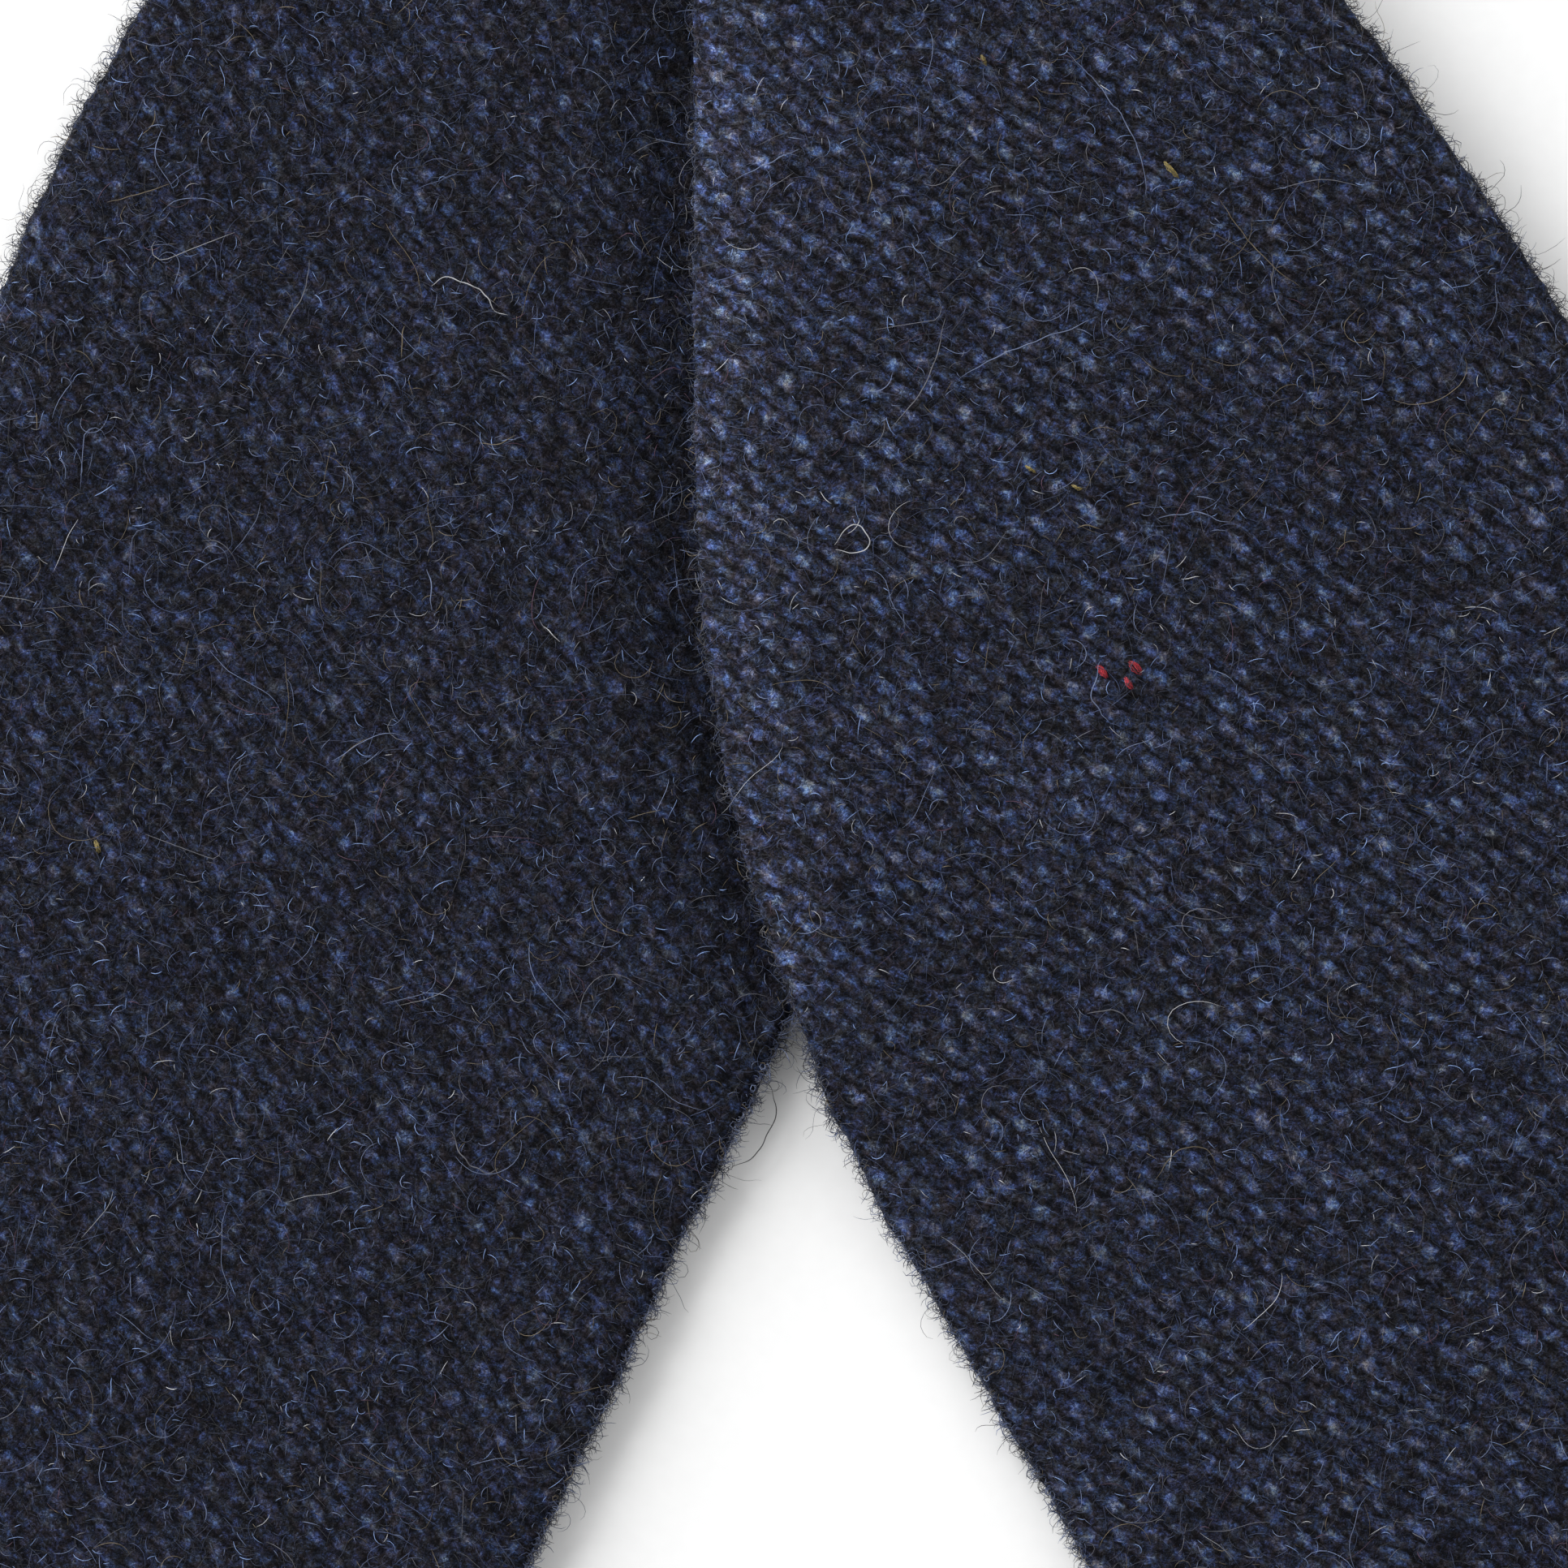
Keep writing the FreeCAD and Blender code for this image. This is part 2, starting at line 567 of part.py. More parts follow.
slider = new_body("slider")
slot_far = "(dims.slider_slot + dims.rail / 2)"
slider_plate = plate(slider, "slider_outline", "dims.slider_lift", [
    box_corners(PASS_START, PASS_END, f"-{OUTER}", OUTER),
    box_corners(f"dims.slider_at - {slot_far}", "dims.slider_at - dims.bar_width / 2", f"-{SLOT}", SLOT),
    box_corners("dims.slider_at + dims.bar_width / 2", f"dims.slider_at + {slot_far}", f"-{SLOT}", SLOT),
])
round_outside(slider, slider_plate, f"{PASS_START} - dims.rail", f"{PASS_END} + dims.rail")
lay(slider, "left")

hook_frame = new_body("hook_frame")
nodes.remove(hook_frame)
rear = "(dims.hook_bar_at - dims.rail / 2)"
front = "(dims.hook_bar_at + dims.hook_slot + dims.rail)"
hook_plate = plate(hook_frame, "hook_outline", FOLD_LINE, [[
    (rear, f"-{OUTER}"),
    (front, f"-{OUTER}"),
    (front, OUTER),
    (rear, OUTER),
    (rear, SLOT),
    (f"{front} - dims.rail", SLOT),
    (f"{front} - dims.rail", f"-{SLOT}"),
    (rear, f"-{SLOT}"),
]])
round_outside(hook_frame, hook_plate, "dims.hook_bar_at", f"{front} + dims.rail")
round_bar(hook_frame, "hook_bar", "dims.hook_bar_at", FOLD_LINE, "dims.rail / 2", "(dims.slot_half + dims.bar_root)")
lay(hook_frame, "left")
tongue = ribbon("hook_tongue", [
    (f"{front} - dims.rail / 2", FOLD_LINE, "run"),
    (f"{front} + dims.tongue_root", FOLD_LINE, "run"),
    (f"{front} + dims.tongue_root + dims.tongue_rise", f"{FOLD_LINE} + dims.curl", "run"),
    (CATCH, f"{FOLD_LINE} + dims.curl", "run"),
    (f"{CATCH} + dims.curl", FOLD_LINE, "fold"),
    (CATCH, f"{FOLD_LINE} - dims.curl", "run"),
    (f"{CATCH} - dims.tongue_lip", f"{FOLD_LINE} - dims.curl", "run"),
], "dims.tongue_half", "dims.tongue")
hook = doc.addObject("Part::MultiFuse", "hook")
hook.Shapes = [hook_frame, tongue]
nodes.append(hook)

eye = new_body("eye")
eye_end = f"({EYE_BAR} + dims.rail / 2)"
nose_end = f"({CATCH} + dims.nose)"
nose_inside = "(dims.tongue_half + dims.eye_gap)"
nose_outside = f"({nose_inside} + dims.nose_rail)"
eye_plate = plate(eye, "eye_outline", FOLD_LINE, [[
    (CATCH, f"-{nose_outside}"),
    (nose_end, f"-{OUTER}"),
    (eye_end, f"-{OUTER}"),
    (eye_end, f"-{SLOT}"),
    (f"{EYE_BAR} - dims.hook_slot", f"-{SLOT}"),
    (f"{EYE_BAR} - dims.hook_slot", SLOT),
    (eye_end, SLOT),
    (eye_end, OUTER),
    (nose_end, OUTER),
    (CATCH, nose_outside),
    (CATCH, nose_inside),
    (nose_end, nose_inside),
    (nose_end, f"-{nose_inside}"),
    (CATCH, f"-{nose_inside}"),
]])
round_outside(eye, eye_plate, f"{nose_end} + dims.rail", f"{EYE_BAR} + dims.nose")
round_bar(eye, "eye_catch", CATCH, FOLD_LINE, "dims.catch_radius", f"({nose_inside} + dims.catch_root)")
round_bar(eye, "eye_bar", EYE_BAR, FOLD_LINE, "dims.rail / 2", "(dims.slot_half + dims.bar_root)")
lay(eye, "left")

# ---- stitches and label --------------------------------------------------------------------------------------


def stitch_group(label, half, count, size, start, step):
    """Equal short stitches in a row, each a small block; size, start and step are triples of expressions."""
    blocks = []
    for index in range(count):
        block = doc.addObject("Part::Box", f"{label}_{index}")
        for side, amount in zip(("Length", "Width", "Height"), size):
            block.setExpression(side, amount)
        corner = [f"{first} + {index} * ({each})" for first, each in zip(start, step)]
        for axis, amount in zip("xyz", corner):
            block.setExpression(f"Placement.Base.{axis}", amount)
        blocks.append(block)
    group = doc.addObject("Part::Compound", label)
    group.Links = blocks
    nodes.append(group)
    lay(group, half)


SLOPE = f"(dims.tip_rise / {CROSSING_FROM_TIP})"
STITCH_SIZE = ("dims.stitch_length", "dims.stitch_depth", "dims.stitch")
STITCH_ALONG = ("dims.stitch_start", "dims.strap_half + dims.stitch_gap")
stitch_group("left_slip_stitches", "left", SLIP_STITCHES, STITCH_SIZE,
             (*STITCH_ALONG, "dims.cloth - dims.stitch_drop"), ("dims.stitch_pitch", "0", "0"))
stitch_group("eye_tack", "left", TACK_STITCHES,
             ("dims.stitch", "2 * (dims.fold - dims.tack_gap) - dims.tape", "dims.tack_length"),
             (f"{EYE_BAR} + dims.tack_at", "dims.tape / 2 + dims.tack_gap", f"{ON_EDGE_MIDDLE} - dims.tack_low"),
             ("0", "0", "dims.tack_pitch"))
# the right half slopes, so its stitches stand on the back cloth as high as it is at the middle of their row
slope_middle = f"{SLOPE} * 2 * dims.stitch_pitch"
stitch_group("right_slip_stitches", "right", SLIP_STITCHES, STITCH_SIZE,
             (*STITCH_ALONG, f"dims.tip_rise + dims.cloth - dims.tape_gap + {slope_middle} - dims.stitch_drop"),
             ("dims.stitch_pitch", "0", f"dims.stitch_pitch * {SLOPE}"))
stitch_group("care_label", "right", 1, ("dims.label_length", "dims.stitch_depth", "2 * dims.label_half"),
             ("dims.right_edge_on + dims.label_at", f"-{HALF_TOTAL} - dims.stitch_depth - dims.label_gap",
              f"{ON_EDGE_MIDDLE} - dims.label_half"),
             ("0", "0", "0"))

# ---- checks and files ----------------------------------------------------------------------------------------

doc.recompute()
for item in doc.Objects:
    if "Invalid" in item.State or "Error" in item.State:
        raise RuntimeError(f"{item.Name} failed: {item.State}")
for node in nodes:
    shape = node.Shape
    if shape.isNull() or not shape.isValid() or shape.Volume < LEAST_VOLUME:
        raise RuntimeError(f"{node.Label} has no sound shape")
for node in nodes:
    node.Shape.exportStep(f"parts/{node.Label}.step")
whole = Part.makeCompound([node.Shape for node in nodes]).BoundBox
print(f"{len(nodes)} nodes, x {whole.XMin:.3f} {whole.XMax:.3f}, y {whole.YMin:.3f} {whole.YMax:.3f}, "
      f"z {whole.ZMin:.3f} {whole.ZMax:.3f}")
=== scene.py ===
"""Looks of the untied tweed bow tie: cloth, fuzz, tape, fittings, stitches, floor, light and camera.

Every cloth piece is drawn in its half's own coordinates, in millimetres: u runs from the crossing of the straps
up the strap (the blade is at negative u), y runs across, and z is the height in the stack of cloth. place() puts
such a point where that half lies, twists or bends in the CAD model.
"""
import bpy
import math
import numpy as np
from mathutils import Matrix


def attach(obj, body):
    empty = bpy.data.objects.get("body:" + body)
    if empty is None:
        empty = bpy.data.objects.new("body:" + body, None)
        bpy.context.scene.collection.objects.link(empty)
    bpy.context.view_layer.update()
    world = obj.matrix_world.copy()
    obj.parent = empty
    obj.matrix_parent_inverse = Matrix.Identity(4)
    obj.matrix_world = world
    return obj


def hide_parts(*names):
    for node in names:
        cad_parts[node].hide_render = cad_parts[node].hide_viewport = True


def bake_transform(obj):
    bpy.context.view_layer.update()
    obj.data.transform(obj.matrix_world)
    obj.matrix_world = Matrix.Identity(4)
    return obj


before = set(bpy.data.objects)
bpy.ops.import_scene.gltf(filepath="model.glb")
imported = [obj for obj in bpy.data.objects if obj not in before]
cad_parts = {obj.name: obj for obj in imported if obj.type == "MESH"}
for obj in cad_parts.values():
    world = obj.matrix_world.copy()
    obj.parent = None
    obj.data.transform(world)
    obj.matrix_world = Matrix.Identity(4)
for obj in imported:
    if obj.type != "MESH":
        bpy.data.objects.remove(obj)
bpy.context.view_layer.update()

MM = 0.001

# The CAD model's measures, in millimetres; a reach or an end is a distance along a half.
SPLAY = math.radians(15.85)  # how far each half turns from the middle line
CROSSING = (-2.0074, -0.8788)  # of the two straps' middle lines, in the row frame
REACH = {"left": 92.9, "right": 107.6}  # from the crossing to the outline's zero
FLAT_END = {"left": 44.0, "right": 42.0}  # blade and strap meet here, and the twist starts
EDGE_ON = {"left": 78.0, "right": 86.0}  # the twist ends
SIDE_RUN = 166.0  # the bend round the neck starts
NECK_RADIUS = SIDE_RUN * math.tan(SPLAY)
NECK_ANGLE = math.pi + 2 * SPLAY
STRAP_END = {"left": 82.0, "right": SIDE_RUN + NECK_RADIUS * NECK_ANGLE + 2.0}
STACK = 2.75  # thickness of the sewn cloth layers
STRAP_HALF = 10.5
TIP_HALF = 29.5
TIP_ROUND = 3.0
TIP_REACH = 112.0
TIP = {half: -TIP_REACH - reach for half, reach in REACH.items()}
TIP_RISE = 7.0  # how far the right half climbs from its tip to the crossing
BAND_LOW = 1.75  # height of the lower edge of the band that stands on edge
BAND_MIDDLE = BAND_LOW + STRAP_HALF
SEAM = 6.5  # turned in round the blades
HEM = 1.6  # turned edge of the straps

# ---- camera ----

VIEW_CENTRE = (-2.99, -94.44)
VIEW_WIDTH = 96.2
CAMERA_HEIGHT = 500.0
VIEW_LEVEL = 4.0  # height at which the view is VIEW_WIDTH wide
VIEW_TURN = -2.28  # degrees
SENSOR = 36.0
camera_data = bpy.data.cameras.new("camera")
camera_data.sensor_width = SENSOR
camera_data.lens = SENSOR * CAMERA_HEIGHT / VIEW_WIDTH
camera_data.clip_start = 0.01
camera_data.clip_end = 10.0
camera = bpy.data.objects.new("camera", camera_data)
bpy.context.collection.objects.link(camera)
camera.location = (VIEW_CENTRE[0] * MM, VIEW_CENTRE[1] * MM, (CAMERA_HEIGHT + VIEW_LEVEL) * MM)
camera.rotation_euler = (0, 0, math.radians(VIEW_TURN))
bpy.context.scene.camera = camera
bpy.context.scene.view_settings.view_transform = "Standard"

# ---- shader arithmetic ----


def feed(tree, item, socket):
    """Link a value into a socket, or set the socket to a number, vector or colour."""
    if isinstance(item, Value):
        tree.links.new(item.socket, socket)
    elif socket.type == "RGBA":
        socket.default_value = (*item, 1.0)
    else:
        socket.default_value = item


def operation(name, *fixed):
    return lambda self, *others: self.math(name, *others, *fixed)


class Value:
    """A number or vector inside a material, with ordinary arithmetic."""

    def __init__(self, tree, socket):
        self.tree, self.socket = tree, socket

    def math(self, name, *others):
        node = self.tree.nodes.new("ShaderNodeMath")
        node.operation = name
        for item, socket in zip((self, *others), node.inputs):
            feed(self.tree, item, socket)
        return Value(self.tree, node.outputs[0])

    __add__ = operation("ADD")
    __sub__ = operation("SUBTRACT")
    __mul__ = operation("MULTIPLY")
    floor, fract, abs, sin = map(operation, ("FLOOR", "FRACT", "ABSOLUTE", "SINE"))
    odd = operation("FLOORED_MODULO", 2.0)

    def step(self, low, high, first=0.0, last=1.0):
        """Smooth change from first to last as the value goes from low to high."""
        node = self.tree.nodes.new("ShaderNodeMapRange")
        node.interpolation_type = "SMOOTHSTEP"
        names = ("Value", "From Min", "From Max", "To Min", "To Max")
        for name, item in zip(names, (self, low, high, first, last)):
            feed(self.tree, item, node.inputs[name])
        return Value(self.tree, node.outputs["Result"])


class Material:
    """A node material with short names for the nodes used here."""

    SHIFT = (17.3, 5.1, 9.7)  # how far one step of shift moves a noise

    def __init__(self, name):
        self.material = bpy.data.materials.new(name)
        self.material.use_nodes = True
        self.tree = self.material.node_tree
        self.shader = self.tree.nodes["Principled BSDF"]

    def node(self, kind, inputs, output=0, **settings):
        """One output of a new node whose inputs, by name or number, are fed."""
        node = self.tree.nodes.new(f"ShaderNode{kind}")
        for name, setting in settings.items():
            setattr(node, name, setting)
        for key, item in inputs.items():
            feed(self.tree, item, node.inputs[key])
        return Value(self.tree, node.outputs[output])

    def attribute(self, name, output="Vector"):
        return self.node("Attribute", {}, output, attribute_name=name)

    def position(self):
        return self.node("NewGeometry", {}, "Position")

    def split(self, vector):
        node = self.tree.nodes.new("ShaderNodeSeparateXYZ")
        feed(self.tree, vector, node.inputs[0])
        return [Value(self.tree, out) for out in node.outputs]

    def join(self, x, y, z=0.0):
        return self.node("CombineXYZ", {0: x, 1: y, 2: z})

    def noise(self, vector, scale, detail=2.0, distortion=0.0, rough=0.5, shift=None):
        if shift is not None:
            vector = self.node("VectorMath", {0: vector, 1: tuple(shift * step for step in self.SHIFT)})
        inputs = {"Vector": vector, "Scale": scale, "Detail": detail, "Distortion": distortion, "Roughness": rough}
        return self.node("TexNoise", inputs, "Fac")

    def random(self, vector):
        return self.node("TexWhiteNoise", {"Vector": vector}, "Value", noise_dimensions="3D")

    def mix(self, share, first, second):
        return self.node("Mix", {0: share, 6: first, 7: second}, 2, data_type="RGBA")

    def tinted(self, colour, tint):
        return self.node("VectorMath", {0: colour, 1: tint}, operation="MULTIPLY")

    def scale(self, colour, amount):
        return self.node("VectorMath", {0: colour, "Scale": amount}, operation="SCALE")

    def ramp(self, value, stops):
        node = self.tree.nodes.new("ShaderNodeValToRGB")
        feed(self.tree, value, node.inputs[0])
        elements = node.color_ramp.elements
        while len(elements) < len(stops):
            elements.new(0.5)
        for element, (position, colour) in zip(elements, stops):
            element.position = position
            element.color = (*colour, 1.0)
        return Value(self.tree, node.outputs[0])

    def bump(self, height, depth):
        """Relief whose full height is depth, in metres."""
        normal = self.node("Bump", {"Height": height, "Distance": depth, "Strength": 1.0})
        feed(self.tree, normal, self.shader.inputs["Normal"])

    def set(self, **values):
        for name, item in values.items():
            feed(self.tree, item, self.shader.inputs[name.replace("_", " ")])
        return self.material


# ---- materials ----


def tweed_material():
    """Plain weave in which one set of yarns stands proud in blue heather floats, matted with curly fibres."""
    m = Material("tweed")
    cut = m.attribute("cut")
    fa, fb, _ = m.split(m.attribute("thread"))
    fa = fa + (m.noise(cut, 0.95, 2.0, shift=1.0) - 0.5) * 0.95
    fb = fb + (m.noise(cut, 0.95, 2.0, shift=2.0) - 0.5) * 0.95
    ia, ib = fa.floor(), fb.floor()
    ua, ub = fa.fract() - 0.5, fb.fract() - 0.5
    round_a = ua * ua * -4.0 + 1.0
    round_b = ub * ub * -4.0 + 1.0
    sign_a = ia.odd() * -2.0 + 1.0
    sign_b = ib.odd() * -2.0 + 1.0
    crown_a = sign_a * (fb * math.pi).sin()
    crown_b = sign_b * (fa * math.pi).sin() * -1.0
    float_a = round_a * (crown_a * 0.40 + 0.60)
    float_b = round_b * (crown_b * 0.50 + 0.50)
    chance = m.random(m.join(ia, ((fb - ia + 0.5) * 0.5).floor()))
    yarn = m.random(m.join(ia, 3.5))
    slub = m.noise(cut, 0.30, 3.0, shift=3.0) - 0.5
    clump = m.noise(cut, 1.5, 3.0, 0.8, 0.6, shift=4.0) - 0.5
    strand = m.noise(m.join(fa * 4.0 + fb * 1.4, fb * 1.2), 1.0, 3.0, 0.7, 0.65) - 0.5
    felt = m.noise(cut, 4.4, 3.0, 1.2, 0.65, shift=7.0) - 0.5
    tuft = m.noise(cut, 2.2, 2.0, 1.0, 0.6, shift=8.0) - 0.5
    # first channel: paler with edge wear, plus a painted highlight along the right blade's inner edge and painted
    # shade on the left blade beside it
    worn, nap, _ = m.split(m.attribute("paleness", "Color"))
    strength = chance * 0.60 + yarn * 0.12 + slub * 0.5 + clump * 0.6 + 0.50
    # tone falls towards each yarn's sides and to near black in the gaps between yarns: painted shade over the yarns'
    # own blue and charcoal
    tone = (float_a * strength * nap * 0.60 + float_b * 0.16 + strand * 1.1 + felt * 1.05 + tuft * 1.27
            + clump * 0.20 + slub * 0.18 + 0.075)
    blue = m.ramp(tone, [
        (0.0, (0.005, 0.0043, 0.0052)), (0.16, (0.0125, 0.0114, 0.015)), (0.34, (0.023, 0.0232, 0.037)),
        (0.52, (0.038, 0.0455, 0.09)), (0.7, (0.066, 0.088, 0.185)), (0.86, (0.112, 0.148, 0.28)),
        (1.0, (0.2, 0.245, 0.36)),
    ])
    brown = m.ramp(tone, [
        (0.0, (0.005, 0.0042, 0.0048)), (0.16, (0.013, 0.011, 0.0125)), (0.34, (0.0235, 0.021, 0.0255)),
        (0.55, (0.042, 0.04, 0.053)), (0.78, (0.086, 0.085, 0.108)), (1.0, (0.19, 0.185, 0.205)),
    ])
    hue = m.noise(cut, 1.15, 3.0, 0.4, 0.6, shift=5.0)
    colour = m.mix(hue.step(0.44, 0.60, 0.08, 0.85), blue, brown)
    dye = m.noise(cut, 1.9, 2.0, 0.5, 0.6, shift=6.0)
    cast = m.noise(cut, 1.3, 1.0, 0.5, 0.5, shift=9.0)
    colour = m.tinted(colour, m.mix(dye.step(0.42, 0.58), (0.82, 0.96, 1.22), (1.05, 1.02, 0.93)))
    colour = m.tinted(colour, m.mix(cast.step(0.42, 0.58), (0.92, 1.03, 1.01), (1.03, 0.985, 1.01)))
    worn = worn * clump.step(-0.22, 0.1, 0.55, 1.2)
    # colour scaled by edge wear together with that painted highlight and painted shade
    colour = m.scale(colour, worn + 1.0)
    lines_height = 0.0
    for index, (scale, width, share, tint) in enumerate([
        (0.9, 0.013, 0.5, (0.036, 0.05, 0.105)),
        (1.3, 0.016, 0.54, (0.02, 0.023, 0.036)),
        (0.7, 0.009, 0.58, (0.085, 0.095, 0.14)),
        (1.1, 0.012, 0.58, (0.048, 0.04, 0.031)),
        (1.5, 0.026, 0.5, (0.006, 0.0055, 0.007)),
        (1.2, 0.022, 0.52, (0.007, 0.0065, 0.0082)),
    ]):
        field = m.noise(cut, scale, 2.0, 1.4, 0.55, shift=11.0 + index * 2.7)
        gate = m.noise(cut, 0.75, 2.0, shift=30.0 + index * 3.1).step(share, share + 0.06)
        line = (field - 0.5).abs().step(width * 0.3, width, 1.0, 0.0) * gate
        colour = m.mix(line * 0.75, colour, tint)
        lines_height = line * 0.12 + lines_height
    height = float_a * 0.60 + float_b * 0.25 + strand * 0.55 + felt * 0.45 + tuft * 0.40 + lines_height
    m.bump(height, 0.00045)
    return m.set(
        Base_Color=colour, Roughness=felt.step(-0.3, 0.3, 0.84, 0.98), Specular_IOR_Level=0.05,
        Sheen_Weight=0.02, Sheen_Roughness=0.6, Sheen_Tint=(0.62, 0.70, 1.0),
    )


def fibre_material():
    """Wool fibres, each with its own colour and faint changes along it."""
    m = Material("fibre")
    along = m.noise(m.attribute("cut"), 2.5, 2.0)
    colour = m.scale(m.attribute("tint", "Color"), along.step(0.3, 0.7, 0.6, 1.35))
    return m.set(
        Base_Color=colour, Roughness=along.step(0.3, 0.7, 0.45, 0.65), Specular_IOR_Level=0.45,
        Sheen_Weight=0.1, Sheen_Roughness=0.5, Sheen_Tint=(0.8, 0.85, 1.0),
    )


RIB, WARP = 0.8, 0.28  # spacing of the tape's ribs and of its threads, millimetres


def tape_material():
    """Ribbed ribbon; cut runs along it and across it in millimetres."""
    m = Material("tape")
    cut = m.attribute("cut")
    along, across, _ = m.split(cut)
    ribs = (along * (2 * math.pi / RIB)).sin() * 0.5 + 0.5
    warp = (across * (2 * math.pi / WARP)).sin() * 0.5 + 0.5
    mottle = m.noise(cut, 1.2, 3.0)
    fluff = m.noise(cut, 7.0, 2.0, 0.5)
    share = ribs * 0.45 + warp * 0.2 + mottle * 0.4 + fluff * 0.25 - 0.25
    colour = m.mix(share.step(0.05, 0.95), (0.005, 0.006, 0.012), (0.021, 0.025, 0.048))
    m.bump(ribs * 0.6 + warp * 0.25 + fluff * 0.15, 0.00016)
    return m.set(
        Base_Color=colour, Roughness=mottle.step(0.3, 0.7, 0.48, 0.66), Specular_IOR_Level=0.4,
        Sheen_Weight=0.05, Sheen_Roughness=0.4, Sheen_Tint=(0.8, 0.85, 1.0),
    )


def canvas_material():
    """Undyed woven interlining."""
    m = Material("interlining")
    cut = m.attribute("cut")
    x, y, _ = m.split(cut)
    weave = (x * 9.0).sin() * (y * 9.0).sin() * 0.5 + 0.5
    mottle = m.noise(cut, 2.2, 3.0)
    colour = m.mix((weave * 0.5 + mottle * 0.6 - 0.1).step(0.1, 0.9), (0.30, 0.26, 0.20), (0.66, 0.61, 0.52))
    m.bump(weave * 0.8 + mottle * 0.2, 0.00012)
    return m.set(Base_Color=colour, Roughness=mottle.step(0.3, 0.7, 0.8, 0.95), Specular_IOR_Level=0.2)


def thread_material():
    """Twisted dark sewing thread; cut runs along and round it."""
    m = Material("thread")
    cut = m.attribute("cut")
    along, around, _ = m.split(cut)
    ply = (along * 9.0 + around * 2.0).sin() * 0.5 + 0.5
    mottle = m.noise(cut, 3.0, 2.0)
    colour = m.mix(ply * 0.7 + mottle * 0.3, (0.008, 0.009, 0.016), (0.045, 0.05, 0.085))
    m.bump(ply, 0.00008)
    return m.set(Base_Color=colour, Roughness=mottle.step(0.3, 0.7, 0.4, 0.6), Specular_IOR_Level=0.5)


def label_material():
    """Plain woven satin, with faint floats and a darker woven border."""
    m = Material("label")
    cut = m.attribute("cut")
    x, y, _ = m.split(cut)
    floats = m.noise(m.join(x * 1.2, y * 9.0), 1.0, 2.0)
    border = y.abs().step(4.6, 4.9) - y.abs().step(5.2, 5.5)
    satin = m.mix(floats.step(0.3, 0.7), (0.46, 0.44, 0.40), (0.66, 0.64, 0.60))
    colour = m.mix(border * 0.8, satin, (0.05, 0.06, 0.10))
    m.bump(floats * 0.7 + (x * 14.0).sin() * 0.15, 0.00006)
    return m.set(Base_Color=colour, Roughness=floats.step(0.3, 0.7, 0.30, 0.45), Specular_IOR_Level=0.5)


def metal_material():
    """Nickel-plated stamping: drawn lines, soft stains and dull worn patches."""
    m = Material("nickel")
    point = m.scale(m.position(), 1 / MM)
    x, y, z = m.split(point)
    drawn = m.noise(m.join(x * 0.5, y * 0.5, z * 14.0), 1.0, 3.0)
    stain = m.noise(point, 0.35, 3.0)
    pits = m.noise(point, 4.0, 2.0).step(0.66, 0.74)
    colour = m.mix(stain.step(0.35, 0.7), (0.44, 0.43, 0.41), (0.58, 0.57, 0.545))
    colour = m.mix(pits * 0.5, colour, (0.22, 0.205, 0.185))
    m.bump(drawn * 0.6 - pits * 0.4, 0.00003)
    return m.set(
        Base_Color=colour, Metallic=1.0,
        Roughness=(drawn * 0.5 + stain * 0.5 + pits * 0.2).step(0.25, 0.85, 0.16, 0.42),
    )


def floor_material():
    """Matt white board."""
    m = Material("floor")
    mottle = m.noise(m.position(), 900.0, 3.0)
    colour = m.mix(mottle, (0.84, 0.84, 0.84), (0.88, 0.88, 0.88))
    return m.set(Base_Color=colour, Roughness=mottle.step(0.3, 0.7, 0.85, 0.95), Specular_IOR_Level=0.1)


TWEED = tweed_material()
FIBRE = fibre_material()
TAPE = tape_material()
CANVAS = canvas_material()
THREAD = thread_material()
LABEL = label_material()
NICKEL = metal_material()

# ---- where a half lies ----


def smooth(value, low, high):
    share = np.clip((value - low) / (high - low), 0.0, 1.0)
    return share * share * (3 - 2 * share)


def waves(seed, shortest, longest, count=28):
    """A smooth random field over the plane, about -1 to 1, made of plane waves."""
    random = np.random.default_rng(seed)
    angle = random.uniform(0, 2 * math.pi, count)
    length = shortest * (longest / shortest) ** random.uniform(0, 1, count)
    phase = random.uniform(0, 2 * math.pi, count)
    kx, ky = 2 * math.pi * np.cos(angle) / length, 2 * math.pi * np.sin(angle) / length

    def field(x, y):
        total = np.zeros(np.broadcast(x, y).shape)
        for a, b, c in zip(kx, ky, phase):
            total += np.sin(a * x + b * y + c)
        return total / math.sqrt(count)

    return field


def fillet(points, radii):
    """A polyline with rounded inner corners, as dense points."""
    line = [points[0]]
    for before, corner, after, radius in zip(points, points[1:], points[2:], radii):
        before, corner, after = map(np.array, (before, corner, after))
        into = (corner - before) / np.linalg.norm(corner - before)
        out = (after - corner) / np.linalg.norm(after - corner)
        turn = math.acos(np.clip(into @ out, -1, 1))
        run = radius * math.tan(turn / 2)
        start, end = corner - into * run, corner + out * run
        for share in np.linspace(0, 1, 40):
            curve = (1 - share) ** 2 * start + 2 * share * (1 - share) * corner + share ** 2 * end
            line.append(tuple(curve))
    line.append(tuple(points[-1]))
    return np.array(line)


# distance along the outline and half width at the tip, the waist and the widest part of a blade
OUTLINE_CORNERS = ((-TIP_REACH, TIP_HALF), (-64.0, 17.1), (13.1, 33.7))
OUTLINE_RADII = (80.0, 100.0, 60.0)


def half_outline(half):
    """u and half width from the tip to far past the strap, and the middle of the tip corner's arc."""
    corners = [(u - REACH[half], width) for u, width in (*OUTLINE_CORNERS, (85.2, STRAP_HALF))]
    line = fillet([*corners, (1000.0, STRAP_HALF)], OUTLINE_RADII)
    (tip_u, tip), (waist_u, waist) = OUTLINE_CORNERS[:2]
    slope = math.atan2(tip - waist, waist_u - tip_u)
    centre = TIP_HALF - TIP_ROUND * math.tan((math.pi / 2 + slope) / 2)
    return line[:, 0], line[:, 1], centre


